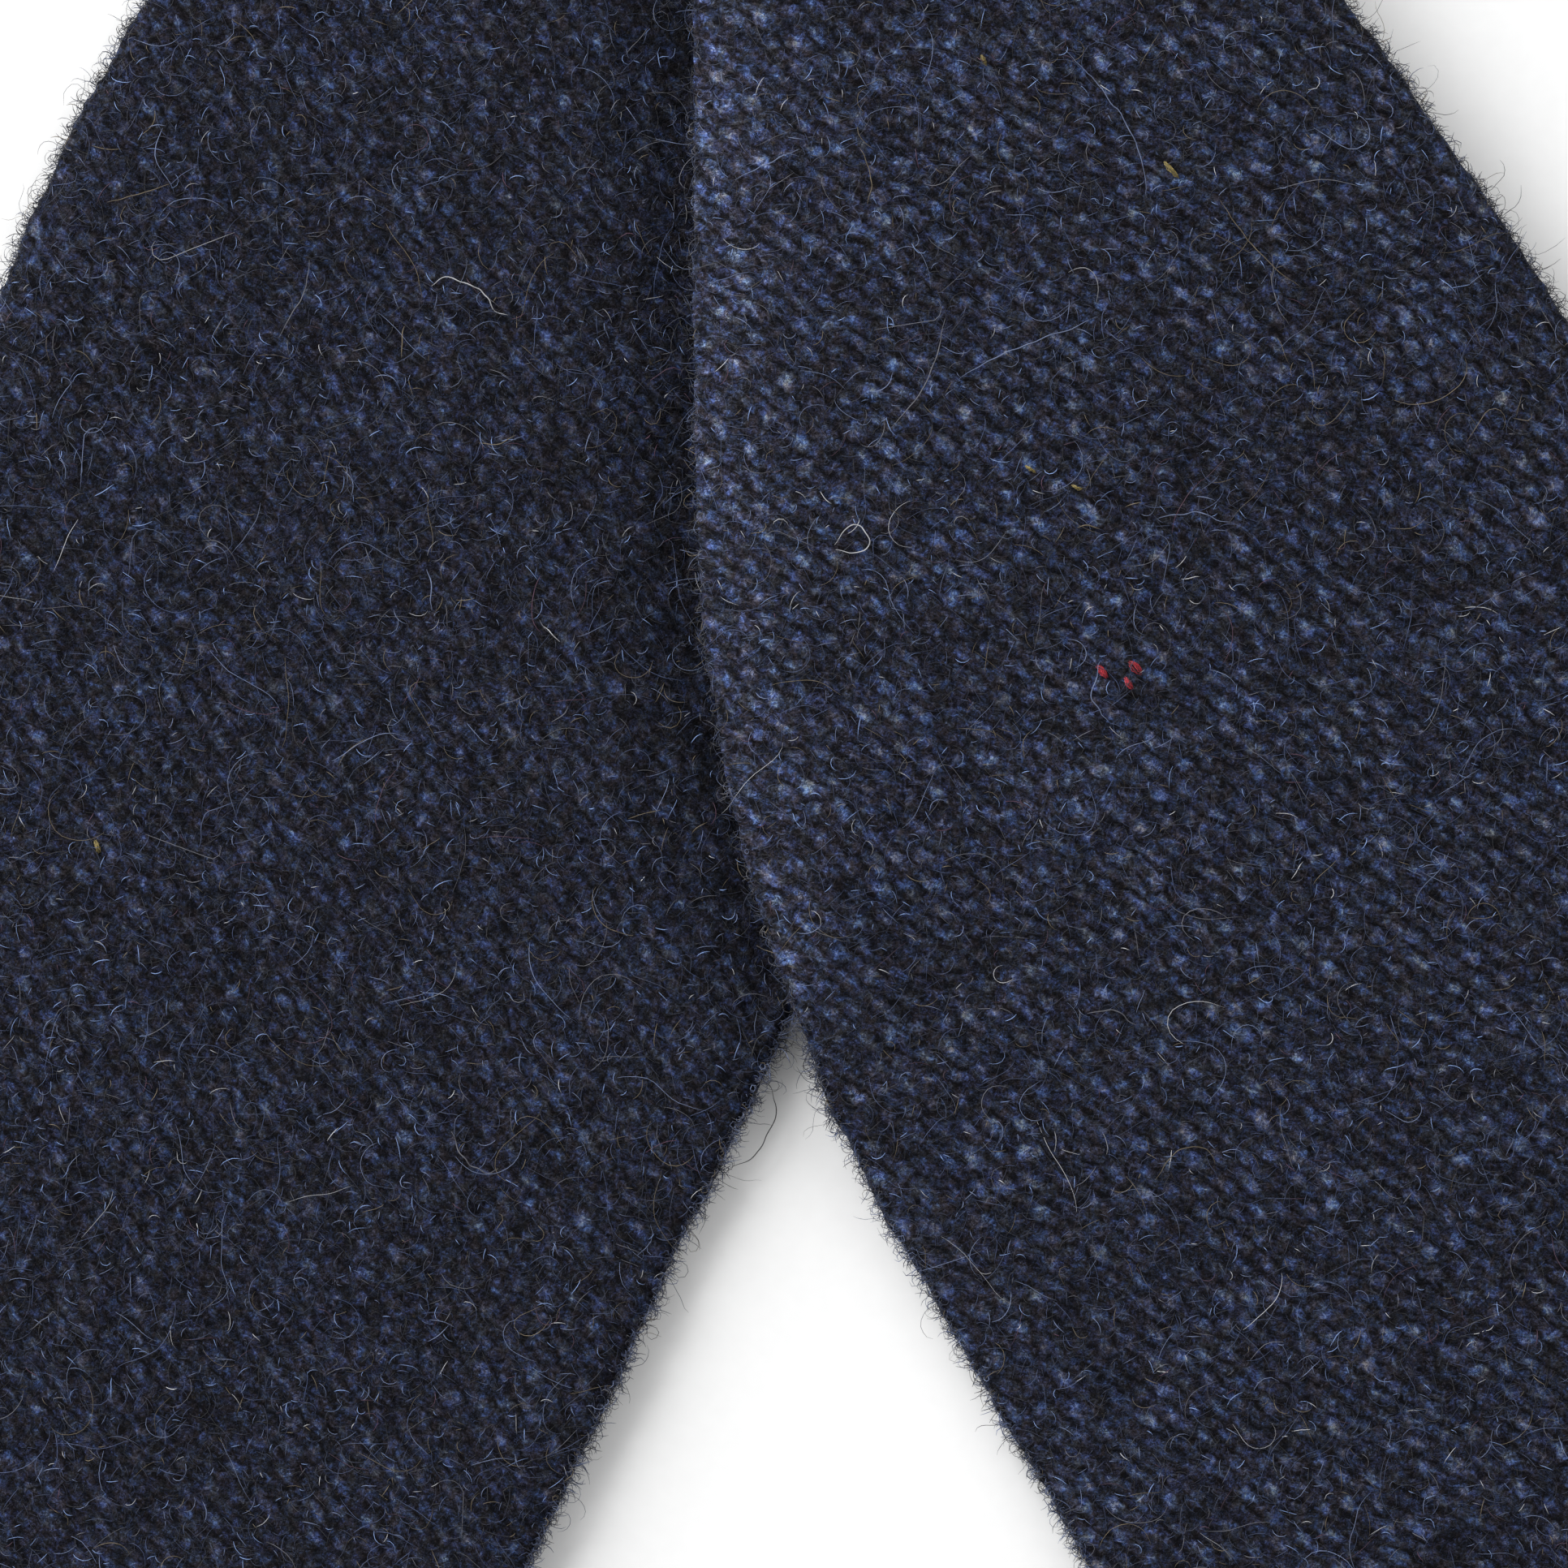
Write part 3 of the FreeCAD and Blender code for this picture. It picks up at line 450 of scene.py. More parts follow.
OUTLINE = {half: half_outline(half) for half in REACH}
RAGGED = 0.12  # how far a blade's edge wanders
EDGE_WAVES = {"left": waves(61, 1.2, 11.0, 12), "right": waves(62, 1.2, 11.0, 12)}


def half_width(half, u):
    us, widths, centre = OUTLINE[half]
    tip = us[0]
    side = np.interp(u, us, widths)
    part = smooth(u, tip + 6.0, tip + 14.0) * (1 - smooth(u, -46.0, -24.0))
    side = side + RAGGED * part * EDGE_WAVES[half](u, 0.0)
    near = np.clip(u - tip - TIP_ROUND, -TIP_ROUND, TIP_ROUND)
    corner = centre + np.sqrt(np.maximum(TIP_ROUND ** 2 - near ** 2, 0))
    return np.where(u < tip + TIP_ROUND, np.minimum(side, corner), side)


def axes(half):
    """Directions along and across a half in the row frame."""
    side = 1 if half == "left" else -1
    return (side * math.sin(SPLAY), math.cos(SPLAY)), (-math.cos(SPLAY), side * math.sin(SPLAY))


def to_row(half, x, y):
    """A half's own coordinates to the row frame, which is the scene's in millimetres."""
    along, across = axes(half)
    return CROSSING[0] + along[0] * x + across[0] * y, CROSSING[1] + along[1] * x + across[1] * y


def from_row(half, x, y):
    along, across = axes(half)
    dx, dy = x - CROSSING[0], y - CROSSING[1]
    return along[0] * dx + along[1] * dy, across[0] * dx + across[1] * dy


DRAPE_STEP = 1.0  # spacing of the height field's grid
DRAPE_X = np.arange(-110.0, 110.0, DRAPE_STEP)
DRAPE_Y = np.arange(-240.0, 60.0, DRAPE_STEP)
LAID_GAP, LAID_PAST = 0.35, 0.5  # gap kept above the left half, and how far past its edge


def blurred(field, radius):
    """A field blurred over a radius in grid steps."""
    kernel = np.exp(-0.5 * (np.arange(-3 * radius, 3 * radius + 1) / radius) ** 2)
    kernel /= kernel.sum()
    for axis in (0, 1):
        field = np.apply_along_axis(lambda line: np.convolve(line, kernel, mode="same"), axis, field)
    return field


def drape_field():
    """Height of the underside of the right half where it lies over the left one and sags to the table."""
    gx, gy = np.meshgrid(DRAPE_X, DRAPE_Y, indexing="ij")
    u, y = from_row("left", gx, gy)
    inside = half_width("left", u) - np.abs(y)
    support = np.where((inside > -LAID_PAST) & (u > TIP["left"]), STACK + LAID_GAP, 0.0)
    height = support.copy()
    for radius in (7, 4, 2):
        height = np.maximum(support, blurred(height, radius))
    return blurred(height, 2)


DRAPE = drape_field()


def draped(x, y):
    """DRAPE at places in the row frame."""
    fx = np.clip((x - DRAPE_X[0]) / DRAPE_STEP, 0, len(DRAPE_X) - 1.001)
    fy = np.clip((y - DRAPE_Y[0]) / DRAPE_STEP, 0, len(DRAPE_Y) - 1.001)
    ix, iy = fx.astype(int), fy.astype(int)
    tx, ty = fx - ix, fy - iy
    low = DRAPE[ix, iy] * (1 - tx) + DRAPE[ix + 1, iy] * tx
    high = DRAPE[ix, iy + 1] * (1 - tx) + DRAPE[ix + 1, iy + 1] * tx
    return low * (1 - ty) + high * ty


DROOP = 2.0  # most that the right blade's inner edge falls
HANG_CLEAR = 0.45  # gap it leaves above the left blade
STRAIGHT = (-135.0, -50.0)  # the right half passes from its drape to a straight line
HANG_IN, HANG_OUT = (-118.0, -88.0), (-30.0, 6.0)  # the fall of the edge sets in and ends
HANG_WIDTH = (-1.0, 7.5)  # and fades inward from the edge


def place(half, u, y, z):
    """Where a point of a half lies in the row frame, in millimetres, as an array of points."""
    u, y, z = (np.asarray(item, float) for item in np.broadcast_arrays(u, y, z))
    eased = smooth(u, FLAT_END[half], EDGE_ON[half])
    turn = eased * math.pi / 2 * (1 if half == "left" else -1)
    slope = TIP_RISE / (REACH["right"] + TIP_REACH)
    lift = np.zeros_like(u) if half == "left" else TIP_RISE + slope * np.minimum(u, FLAT_END["right"])
    centre = STACK / 2 * np.cos(turn) + STRAP_HALF * np.sin(np.abs(turn)) + lift * (1 - eased) ** 2 + BAND_LOW * eased
    local_y = y * np.cos(turn) - (z - STACK / 2) * np.sin(turn)
    local_z = centre + y * np.sin(turn) + (z - STACK / 2) * np.cos(turn)
    local_x = u
    if half == "right":
        angle = np.clip((u - SIDE_RUN) / NECK_RADIUS, 0, NECK_ANGLE)
        past = np.maximum(u - SIDE_RUN - NECK_RADIUS * NECK_ANGLE, 0)
        radius = NECK_RADIUS + local_y
        bent_x = SIDE_RUN + radius * np.sin(angle) + past * np.cos(angle)
        bent_y = radius * np.cos(angle) - NECK_RADIUS - past * np.sin(angle)
        local_x = np.where(u > SIDE_RUN, bent_x, local_x)
        local_y = np.where(u > SIDE_RUN, bent_y, local_y)
    x, yy = to_row(half, local_x, local_y)
    if half == "right":
        share = 1 - smooth(u, *STRAIGHT)
        sag = (draped(x, yy) - lift) * share * (u < FLAT_END["right"])
        inner = half_width("right", u) - y
        hang = (1 - smooth(inner, *HANG_WIDTH)) * smooth(u, *HANG_IN) * (1 - smooth(u, *HANG_OUT))
        local_z = local_z + sag - np.clip(lift + sag - STACK - HANG_CLEAR, 0, DROOP) * hang
    return np.stack([x, yy, local_z], -1)


# ---- weave ----

WEAVE = {
    # angle of each set of threads' spacing direction from the strap line, and its spacing
    "left": ((-40.4, 1.12), (53.3, 1.22)),
    "right": ((-54.3, 1.135), (39.9, 1.245)),
}
SWAY = [waves(seed, 9.0, 45.0, 16) for seed in (31, 32)]
LUMPS = waves(41, 2.6, 7.0, 40)
ROLLS = waves(42, 12.0, 40.0, 20)


def threads(half, u, y):
    """Thread numbers at a point of the flat cloth, with the slight bends of hand-loose yarn."""
    numbers = []
    for (degrees, spacing), sway in zip(WEAVE[half], SWAY):
        angle = math.radians(degrees)
        numbers.append((u * math.cos(angle) + y * math.sin(angle)) / spacing + 0.30 * sway(u, y))
    return numbers


def weave_relief(half, u, y):
    """Height of the weave, from about 0 to 1."""
    fa, fb = threads(half, u, y)
    heights = []
    for first, second, sign in ((fa, fb, 1), (fb, fa, -1)):
        middle = first - np.floor(first) - 0.5
        parity = 1 - 2 * (np.floor(first) % 2)
        heights.append(0.5 * (1 - 4 * middle ** 2) + sign * 0.5 * parity * np.sin(math.pi * second))
    return np.maximum(*heights)


# ---- meshes ----


def build(name, points, quads, triangles=(), polygons=(), attributes=None, material=None):
    """A smooth mesh object from points in millimetres, with its point attributes."""
    mesh = bpy.data.meshes.new(name)
    flats = [np.asarray(quads, np.int64).ravel(), np.asarray(triangles, np.int64).ravel()]
    sizes = [np.full(len(quads), 4), np.full(len(triangles), 3)]
    for polygon in polygons:
        flats.append(np.asarray(polygon, np.int64))
        sizes.append(np.array([len(polygon)]))
    corners = np.concatenate(flats)
    sizes = np.concatenate(sizes).astype(np.int64)
    mesh.vertices.add(len(points))
    mesh.vertices.foreach_set("co", (np.asarray(points, np.float64) * MM).ravel().astype(np.float32))
    mesh.loops.add(len(corners))
    mesh.loops.foreach_set("vertex_index", corners.astype(np.int32))
    mesh.polygons.add(len(sizes))
    mesh.polygons.foreach_set("loop_start", np.concatenate([[0], np.cumsum(sizes)[:-1]]).astype(np.int32))
    mesh.update(calc_edges=True)
    mesh.validate()
    mesh.polygons.foreach_set("use_smooth", np.full(len(mesh.polygons), True))
    for key, values in (attributes or {}).items():
        kind = "FLOAT_COLOR" if values.shape[1] == 4 else "FLOAT_VECTOR"
        layer = mesh.attributes.new(key, kind, "POINT")
        layer.data.foreach_set("color" if kind == "FLOAT_COLOR" else "vector", values.astype(np.float32).ravel())
    piece = bpy.data.objects.new(name, mesh)
    bpy.context.collection.objects.link(piece)
    piece.data.materials.append(material)
    return piece


def grid_quads(rows, columns, first, flip):
    """Faces of a grid of points whose numbers start at first."""
    index = first + np.arange(rows * columns).reshape(rows, columns)
    quads = np.stack([index[:-1, :-1], index[1:, :-1], index[1:, 1:], index[:-1, 1:]], -1).reshape(-1, 4)
    return quads[:, ::-1] if flip else quads


def wall(a, b, flip):
    """Faces between two rows of points."""
    quads = np.stack([a[:-1], a[1:], b[1:], b[:-1]], -1)
    return quads[:, ::-1] if flip else quads


# distances from a rolled edge at which the cloth has points, and the radii of the rolls
EDGE_STEPS = np.array([0, 0.05, 0.16, 0.33, 0.55, 0.82, 1.15, 1.55, 2.05, 2.7])
ROLL, BACK_ROLL = 1.3, 0.75


def stations(start, end, step, closed_start, closed_end):
    """Places along the cloth, close together at ends that are rolled."""
    low = start + EDGE_STEPS if closed_start else np.array([start])
    high = end - EDGE_STEPS[::-1] if closed_end else np.array([end])
    count = max(2, int(round((high[0] - low[-1]) / step)))
    return np.concatenate([low, np.linspace(low[-1], high[0], count + 1)[1:-1], high])


def roll_down(edge, radius):
    """How far the surface has come down at a distance from the edge."""
    near = np.clip(radius - edge, 0, radius)
    return radius - np.sqrt(radius ** 2 - near ** 2)


def edge_distance(half, u, y, rolled):
    """Distance from the nearest edge; rolled lists the rolled ends and their inward directions."""
    distance = half_width(half, u) - np.abs(y)
    for end, sign in rolled:
        distance = np.minimum(distance, sign * (u - end))
    return np.maximum(distance, 0)


PRESSED = 0.75  # how far the left blade is pressed down under the right one


def covered(u, y):
    """How far inside the right half's outline a place on the left half is."""
    over_u, over_y = from_row("right", *to_row("left", u, y))
    return half_width("right", over_u) - np.abs(over_y)


def front_top(half, u, y, rolled):
    """Height in the stack of the front cloth's outer face, without its weave."""
    edge = edge_distance(half, u, y, rolled)
    puff = 0.16 * LUMPS(u, y) + 0.12 * ROLLS(u, y)
    level = STACK - 0.10 - roll_down(edge, ROLL) - 0.42 * (1 - smooth(edge, 0, 4.5))
    if half == "left":
        level = level - PRESSED * smooth(covered(u, y), -8.0, 2.0) * (u < FLAT_END["left"]) * smooth(edge, 0, 2.5)
    return level + puff * smooth(edge, 0, 3.0) * 0.6


NAP = {"left": 0.84, "right": 1.08}  # how plainly the weave shows through the nap of each half


def edge_wear_and_painted_light(half, u, y, rolled):
    """How much paler (below zero, darker) the nap is: paler along every edge from use, a painted highlight along the
    right blade's inner edge where it lies raised over the left one, painted shade on the left blade beside and under
    that edge, and darker towards the right blade's tip and over the whole left half.
    """
    paleness = 0.12 * (1 - smooth(edge_distance(half, u, y, rolled), 0.2, 3.0))
    below = smooth(u, -135.0, -90.0) * (1 - smooth(u, -15.0, 15.0))
    if half == "right":
        inside = half_width(half, u) - y
        # painted highlight: the right blade's inner edge, raised over the left blade, is made paler
        inner_edge = 0.34 * (1 - smooth(inside, 1.0, 7.0)) + 0.16 * (1 - smooth(inside, 6.0, 40.0))
        return paleness + below * inner_edge - 0.13 * (1 - smooth(u, -150.0, -95.0))
    # painted shade: the left blade is darkened beside and under the right blade's inner edge
    return paleness - 0.10 - 0.36 * below * smooth(covered(u, y), -8.5, 0.0)


SLACK = 0.2  # gap between the interlining and the turned edge
BACK_INSET = 0.14  # the back cloth stays this far inside the front one
CANVAS_TOP = 1.72
RELIEF, BACK_RELIEF = 0.20, 0.10  # depth of the weave on the front and on the back
# height in the stack of each layer's hidden face, on the turned edge and inside it
HIDDEN = {"front": (1.05, 1.76), "back": (1.0, 0.96), "interlining": (1.08, 1.08)}
LAYER_SHIFT = {"front": 0.0, "back": 400.0, "interlining": 800.0}  # keeps the layers' patterns apart


def cloth(name, half, start, end, layer, columns, step, rolled_start, rolled_end):
    """One layer of cloth as a closed thin solid whose seen face has rolled edges, relief and dense points."""
    u = stations(start, end, step, rolled_start, rolled_end)
    rolled = [(start, 1)] * rolled_start + [(end, -1)] * rolled_end
    turned = SEAM if start < 0 else HEM
    width = half_width(half, u) - {"front": 0.0, "back": BACK_INSET, "interlining": turned + SLACK}[layer]
    rows = len(u)
    under, inside = HIDDEN[layer]
    inner = np.linspace(-1, 1, columns)
    if layer == "interlining":
        across = width[:, None] * inner
        seen = np.full(across.shape, CANVAS_TOP)
        hidden_across, hidden = across[:, ::columns - 1], np.full((rows, 2), under)
    else:
        left_edge = -width[:, None] + EDGE_STEPS
        middle = (width - EDGE_STEPS[-1])[:, None] * inner[1:-1]
        across = np.concatenate([left_edge, middle, -left_edge[:, ::-1]], axis=1)
        relief = weave_relief(half, u[:, None], across)
        edge = edge_distance(half, u[:, None], across, rolled)
        if layer == "front":
            seen = front_top(half, u[:, None], across, rolled) + RELIEF * (relief - 0.6) * smooth(edge, 0, 0.8)
        else:
            seen = 0.04 + roll_down(edge, BACK_ROLL) + BACK_RELIEF * (1 - relief) * smooth(edge, 0, 0.8)
        low = -width[:, None] + np.array([0, 0.4, turned - 0.1, turned])
        hidden_across = np.concatenate([low, -low[:, ::-1]], axis=1)
        hidden = np.tile([under, under, under, inside, inside, under, under, under], (rows, 1))
    shown_count, hidden_count = across.shape[1], hidden_across.shape[1]
    all_u = np.concatenate([np.repeat(u, shown_count), np.repeat(u, hidden_count)])
    all_y = np.concatenate([across.ravel(), hidden_across.ravel()])
    points = place(half, all_u, all_y, np.concatenate([seen.ravel(), hidden.ravel()]))
    base = rows * shown_count
    shown_index = np.arange(base).reshape(rows, shown_count)
    hidden_index = base + np.arange(rows * hidden_count).reshape(rows, hidden_count)
    up = layer != "back"
    quads = [grid_quads(rows, shown_count, 0, up), grid_quads(rows, hidden_count, base, not up)]
    quads += [wall(shown_index[:, column], hidden_index[:, column], up ^ (column < 0)) for column in (0, -1)]
    ends = []
    for row in (0, -1):
        loop = np.concatenate([shown_index[row], hidden_index[row][::-1]])
        ends.append(loop[::-1] if up ^ (row == 0) else loop)
    fa, fb = threads(half, all_u, all_y)
    if layer == "back":
        fa, fb = fa + 40.0, fb + 17.0
    shift = LAYER_SHIFT[layer] + (150.0 if half == "right" else 0.0)
    zero = np.zeros_like(all_u)
    attributes = {
        # first channel: edge wear, a painted highlight along the right blade's inner edge and painted shade on the
        # left blade beside it
        "paleness": np.stack([edge_wear_and_painted_light(half, all_u, all_y, rolled), zero + NAP[half], zero], -1),
        "cut": np.stack([all_u + shift, all_y, zero], -1),
        "thread": np.stack([fa, fb, zero], -1),
    }
    material = CANVAS if layer == "interlining" else TWEED
    piece = build(name, points, np.concatenate(quads), polygons=ends, attributes=attributes, material=material)
    seam = 0.0 if layer == "interlining" else turned
    area = float(np.sum(2 * (width + seam) * np.gradient(u)))
    flat = (2 * float(width.max() + seam) * MM, (end - start + seam) * MM)
    return piece, flat, min(area * MM * MM, 0.999 * flat[0] * flat[1])


BODY = {"left": "left_half", "right": "right_half"}
# points across a blade and across a strap, and the spacing of the rows
LAYERS = {"front": (112, 44, 0.46), "back": (70, 34, 0.75), "interlining": (16, 6, 2.5)}


def tweed_half(half):
    joint = FLAT_END[half]
    for layer, (wide, narrow, step) in LAYERS.items():
        for part, start, end, columns, rolled, held in (
            ("blade", TIP[half], joint - 0.01, wide, (True, False), "laid"),
            ("strap", joint + 0.01, STRAP_END[half], narrow, (False, True), "folded"),
        ):
            if layer == "interlining":
                start, end = (start + SEAM + SLACK, end) if part == "blade" else (start, end - 2.0)
                rolled = (False, False)
            name = f"{half}_{part}_{layer}"
            piece, flat, area = cloth(f"{name}_cloth", half, start, end, layer, columns, step, *rolled)
            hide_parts(name)
            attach(piece, BODY[half])


tweed_half("left")
tweed_half("right")

# ---- fibres ----

FIBRE_COLOURS = {
    "navy": (0.015, 0.019, 0.040),
    "charcoal": (0.0065, 0.0065, 0.0085),
    "blue": (0.036, 0.052, 0.115),
    "pale": (0.110, 0.140, 0.240),
    "sky": (0.150, 0.225, 0.430),
    "grey": (0.090, 0.090, 0.105),
    "tan": (0.110, 0.085, 0.050),
    "plum": (0.055, 0.020, 0.040),
    "white": (0.380, 0.380, 0.400),
}
MIXES = {
    "matted": [("navy", 0.34), ("charcoal", 0.34), ("blue", 0.20), ("pale", 0.04), ("grey", 0.04), ("tan", 0.03),
               ("plum", 0.01)],
    "loose": [("blue", 0.44), ("pale", 0.20), ("grey", 0.16), ("tan", 0.12), ("white", 0.04), ("plum", 0.04)],
    "fleck": [("sky", 0.36), ("pale", 0.30), ("white", 0.08), ("grey", 0.10), ("tan", 0.10), ("plum", 0.06)],
    "inner_edge": [("blue", 0.40), ("navy", 0.26), ("pale", 0.18), ("grey", 0.12), ("tan", 0.04)],
    "edge": [("navy", 0.34), ("charcoal", 0.44), ("blue", 0.14), ("grey", 0.05), ("tan", 0.03)],
}


def tubes(name, paths, radii, colours, material, sides=3):
    """Closed thin tubes along paths (count, steps, 3), each with its radius and colour."""
    count, steps, _ = paths.shape
    tangent = np.gradient(paths, axis=1)
    tangent /= np.linalg.norm(tangent, axis=2, keepdims=True) + 1e-12
    up = np.zeros_like(tangent)
    up[..., 2] = 1.0
    side = np.cross(tangent, up)
    weak = np.linalg.norm(side, axis=2, keepdims=True) < 0.05
    side = np.where(weak, np.cross(tangent, np.array([1.0, 0.0, 0.0])), side)
    side /= np.linalg.norm(side, axis=2, keepdims=True) + 1e-12
    normal = np.cross(side, tangent)
    taper = np.minimum(1.0, 0.35 + 2.6 * np.minimum(np.linspace(0, 1, steps), np.linspace(1, 0, steps)))
    angles = 2 * math.pi * np.arange(sides) / sides
    ring = side[:, :, None] * np.cos(angles)[:, None] + normal[:, :, None] * np.sin(angles)[:, None]
    points = paths[:, :, None] + ring * (radii[:, None] * taper)[..., None, None]
    index = np.arange(count * steps * sides).reshape(count, steps, sides)
    following = np.roll(index, -1, axis=2)
    quads = np.stack([index[:, :-1], index[:, 1:], following[:, 1:], following[:, :-1]], -1).reshape(-1, 4)
    caps = [index[:, 0], index[:, -1, ::-1]]
    triangles, polygons = (np.concatenate(caps), ()) if sides == 3 else ((), np.concatenate(caps))
    shape = (count, steps, sides)
    along = np.broadcast_to(np.linspace(0, 1, steps)[:, None] * 5.0, shape)
    around = np.broadcast_to(angles, shape)
    offset = np.broadcast_to((np.arange(count) * 1.37)[:, None, None], shape)
    attributes = {
        "cut": np.stack([along, around, offset], -1).reshape(-1, 3),
        "tint": np.repeat(colours, steps * sides, axis=0),
    }
    return build(name, points.reshape(-1, 3), quads, triangles, polygons, attributes, material)


def wool(name, half, paths, radii, colours, sides=3):
    """Fibres that belong to the cloth of a half."""
    piece = tubes(name, paths, radii, colours, FIBRE, sides)
    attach(piece, BODY[half])


def pick_colours(random, kind, count):
    """Colours drawn from a mix, each a little lighter or darker."""
    names, shares = zip(*MIXES[kind])
    chosen = random.choice(len(names), count, p=np.array(shares) / sum(shares))
    colours = np.array([FIBRE_COLOURS[item] for item in names])[chosen]
    colours = colours * random.uniform(0.65, 1.4, (count, 1))
    return np.concatenate([colours, np.ones((count, 1))], axis=1)


def scatter(random, half, count, low, high, margin=0.2):
    """Random places on a half between two distances along it."""
    u, y = np.zeros(0), np.zeros(0)
    widest = float(half_width(half, np.linspace(low, high, 400)).max())
    while len(u) < count:
        more_u = random.uniform(low, high, count * 2)
        more_y = random.uniform(-widest, widest, count * 2)
        keep = np.abs(more_y) < half_width(half, more_u) - margin
        u, y = np.concatenate([u, more_u[keep]]), np.concatenate([y, more_y[keep]])
    return u[:count], y[:count]


MOST_TURN = 3.4  # most that a fibre turns from its heading, radians


def curls(random, u, y, heading, length, steps, curl, wander):
    """Curved paths over the flat cloth: a steady curl with a wandering turn on top."""
    count = len(u)
    step = length / (steps - 1)
    bend = random.normal(0, curl, count)[:, None] + np.cumsum(random.normal(0, wander, (count, steps)), axis=1)
    angle = heading[:, None] + np.clip(np.cumsum(bend * step[:, None], axis=1), -MOST_TURN, MOST_TURN)
    du, dy = np.cos(angle) * step[:, None], np.sin(angle) * step[:, None]
    path_u, path_y = np.cumsum(du, axis=1), np.cumsum(dy, axis=1)
    return u[:, None] + path_u - path_u.mean(1, keepdims=True), y[:, None] + path_y - path_y.mean(1, keepdims=True)


def surface_level(half, u, y, rolled=(), back=False):
    """Height in the stack of the cloth's face that fibres lie on."""
    if back:
        return 0.05 + roll_down(edge_distance(half, u, y, rolled), BACK_ROLL)
    return front_top(half, u, y, rolled)


def path_sizes(random, length, count, lean=1.0):
    """Fibre lengths between two limits; the shorter are as common as the longer, or commoner with more lean."""
    return length[0] * (length[1] / length[0]) ** random.uniform(0, 1, count) ** lean


def fuzz(name, half, count, low, high, seed, kind, length, rise, radius, steps=7, back=False, curl=0.55,
         wander=0.34):
    """Fibres that lie over one face of a half, their ends in the cloth."""
    random = np.random.default_rng(seed)
    u, y = scatter(random, half, count, low, high)
    size = path_sizes(random, length, count)
    path_u, path_y = curls(random, u, y, random.uniform(0, 2 * math.pi, count), size, steps, curl, wander)
    rolled = [(TIP[half], 1), (STRAP_END[half], -1)]
    share = np.linspace(0, 1, steps)
    arch = np.sin(math.pi * share) ** 0.8 * random.uniform(*rise, count)[:, None] - 0.04
    arch = arch + random.normal(0, 0.05, (count, steps)) * np.sin(math.pi * share)
    level = surface_level(half, path_u, path_y, rolled, back)
    paths = place(half, path_u, path_y, level + (-arch if back else arch))
    if back:
        paths[..., 2] = np.maximum(paths[..., 2], 0.03)
    wool(name, half, paths, random.uniform(*radius, count), pick_colours(random, kind, count))


APEX_U = -104.2  # where the inner edges of the two blades part
INNER = {"left": -1.0, "right": 1.0}  # side of each blade that faces the other
FLIPPED = 0.62  # share of the inner edge's fibres that move to the outer edge where the blades overlap
LOWEST = 0.04  # height above the table that fibres past an edge keep
HIGHEST = 3.2  # and the highest in the stack that they reach


def edge_fuzz(name, half, count, low, high, seed, length, radius, steps=9, sides=(-1.0, 1.0), kind="edge",
              low_level=0.9, curl=1.3):
    """Fibres that stand out past the edges of a half, and past its tip if they start there."""
    random = np.random.default_rng(seed)
    u = random.uniform(low, high, count)
    side = np.where(random.uniform(0, 1, count) < 0.5, *sides)
    overlapped = (side == INNER[half]) & (u > APEX_U - 1.0)
    flipped = random.uniform(0, 1, count) < (FLIPPED if sides[0] < sides[1] else 0.0)
    side = np.where(overlapped & flipped, -side, side)
    y = side * half_width(half, u)
    tip_share = TIP_HALF / (high - low + TIP_HALF) if low < TIP[half] + 3 else 0
    at_tip = random.uniform(0, 1, count) < tip_share
    y = np.where(at_tip, random.uniform(-TIP_HALF + 4, TIP_HALF - 4, count), y)
    u = np.where(at_tip, TIP[half], u)
    outward = np.where(at_tip, math.pi, side * math.pi / 2)
    heading = outward + random.normal(0, 0.65, count)
    step = (path_sizes(random, length, count, 1.4) / (steps - 1))[:, None]
    bend = random.normal(0, curl, count)[:, None] + np.cumsum(random.normal(0, 0.5 * curl, (count, steps)), axis=1)
    angle = heading[:, None] + np.cumsum(bend * step, axis=1) - bend[:, :1] * step
    path_u = u[:, None] + np.cumsum(np.cos(angle) * step, axis=1) - (np.cos(heading) * 0.5)[:, None]
    path_y = y[:, None] + np.cumsum(np.sin(angle) * step, axis=1) - (np.sin(heading) * 0.5)[:, None]
    level = low_level + random.uniform(0, 1.2, count)[:, None]
    level = level + np.cumsum(random.normal(0, 0.10, (count, steps)), axis=1)
    paths = place(half, path_u, path_y, np.minimum(level, HIGHEST))
    paths[..., 2] = np.maximum(paths[..., 2], LOWEST)
    wool(name, half, paths, random.uniform(*radius, count), pick_colours(random, kind, count))


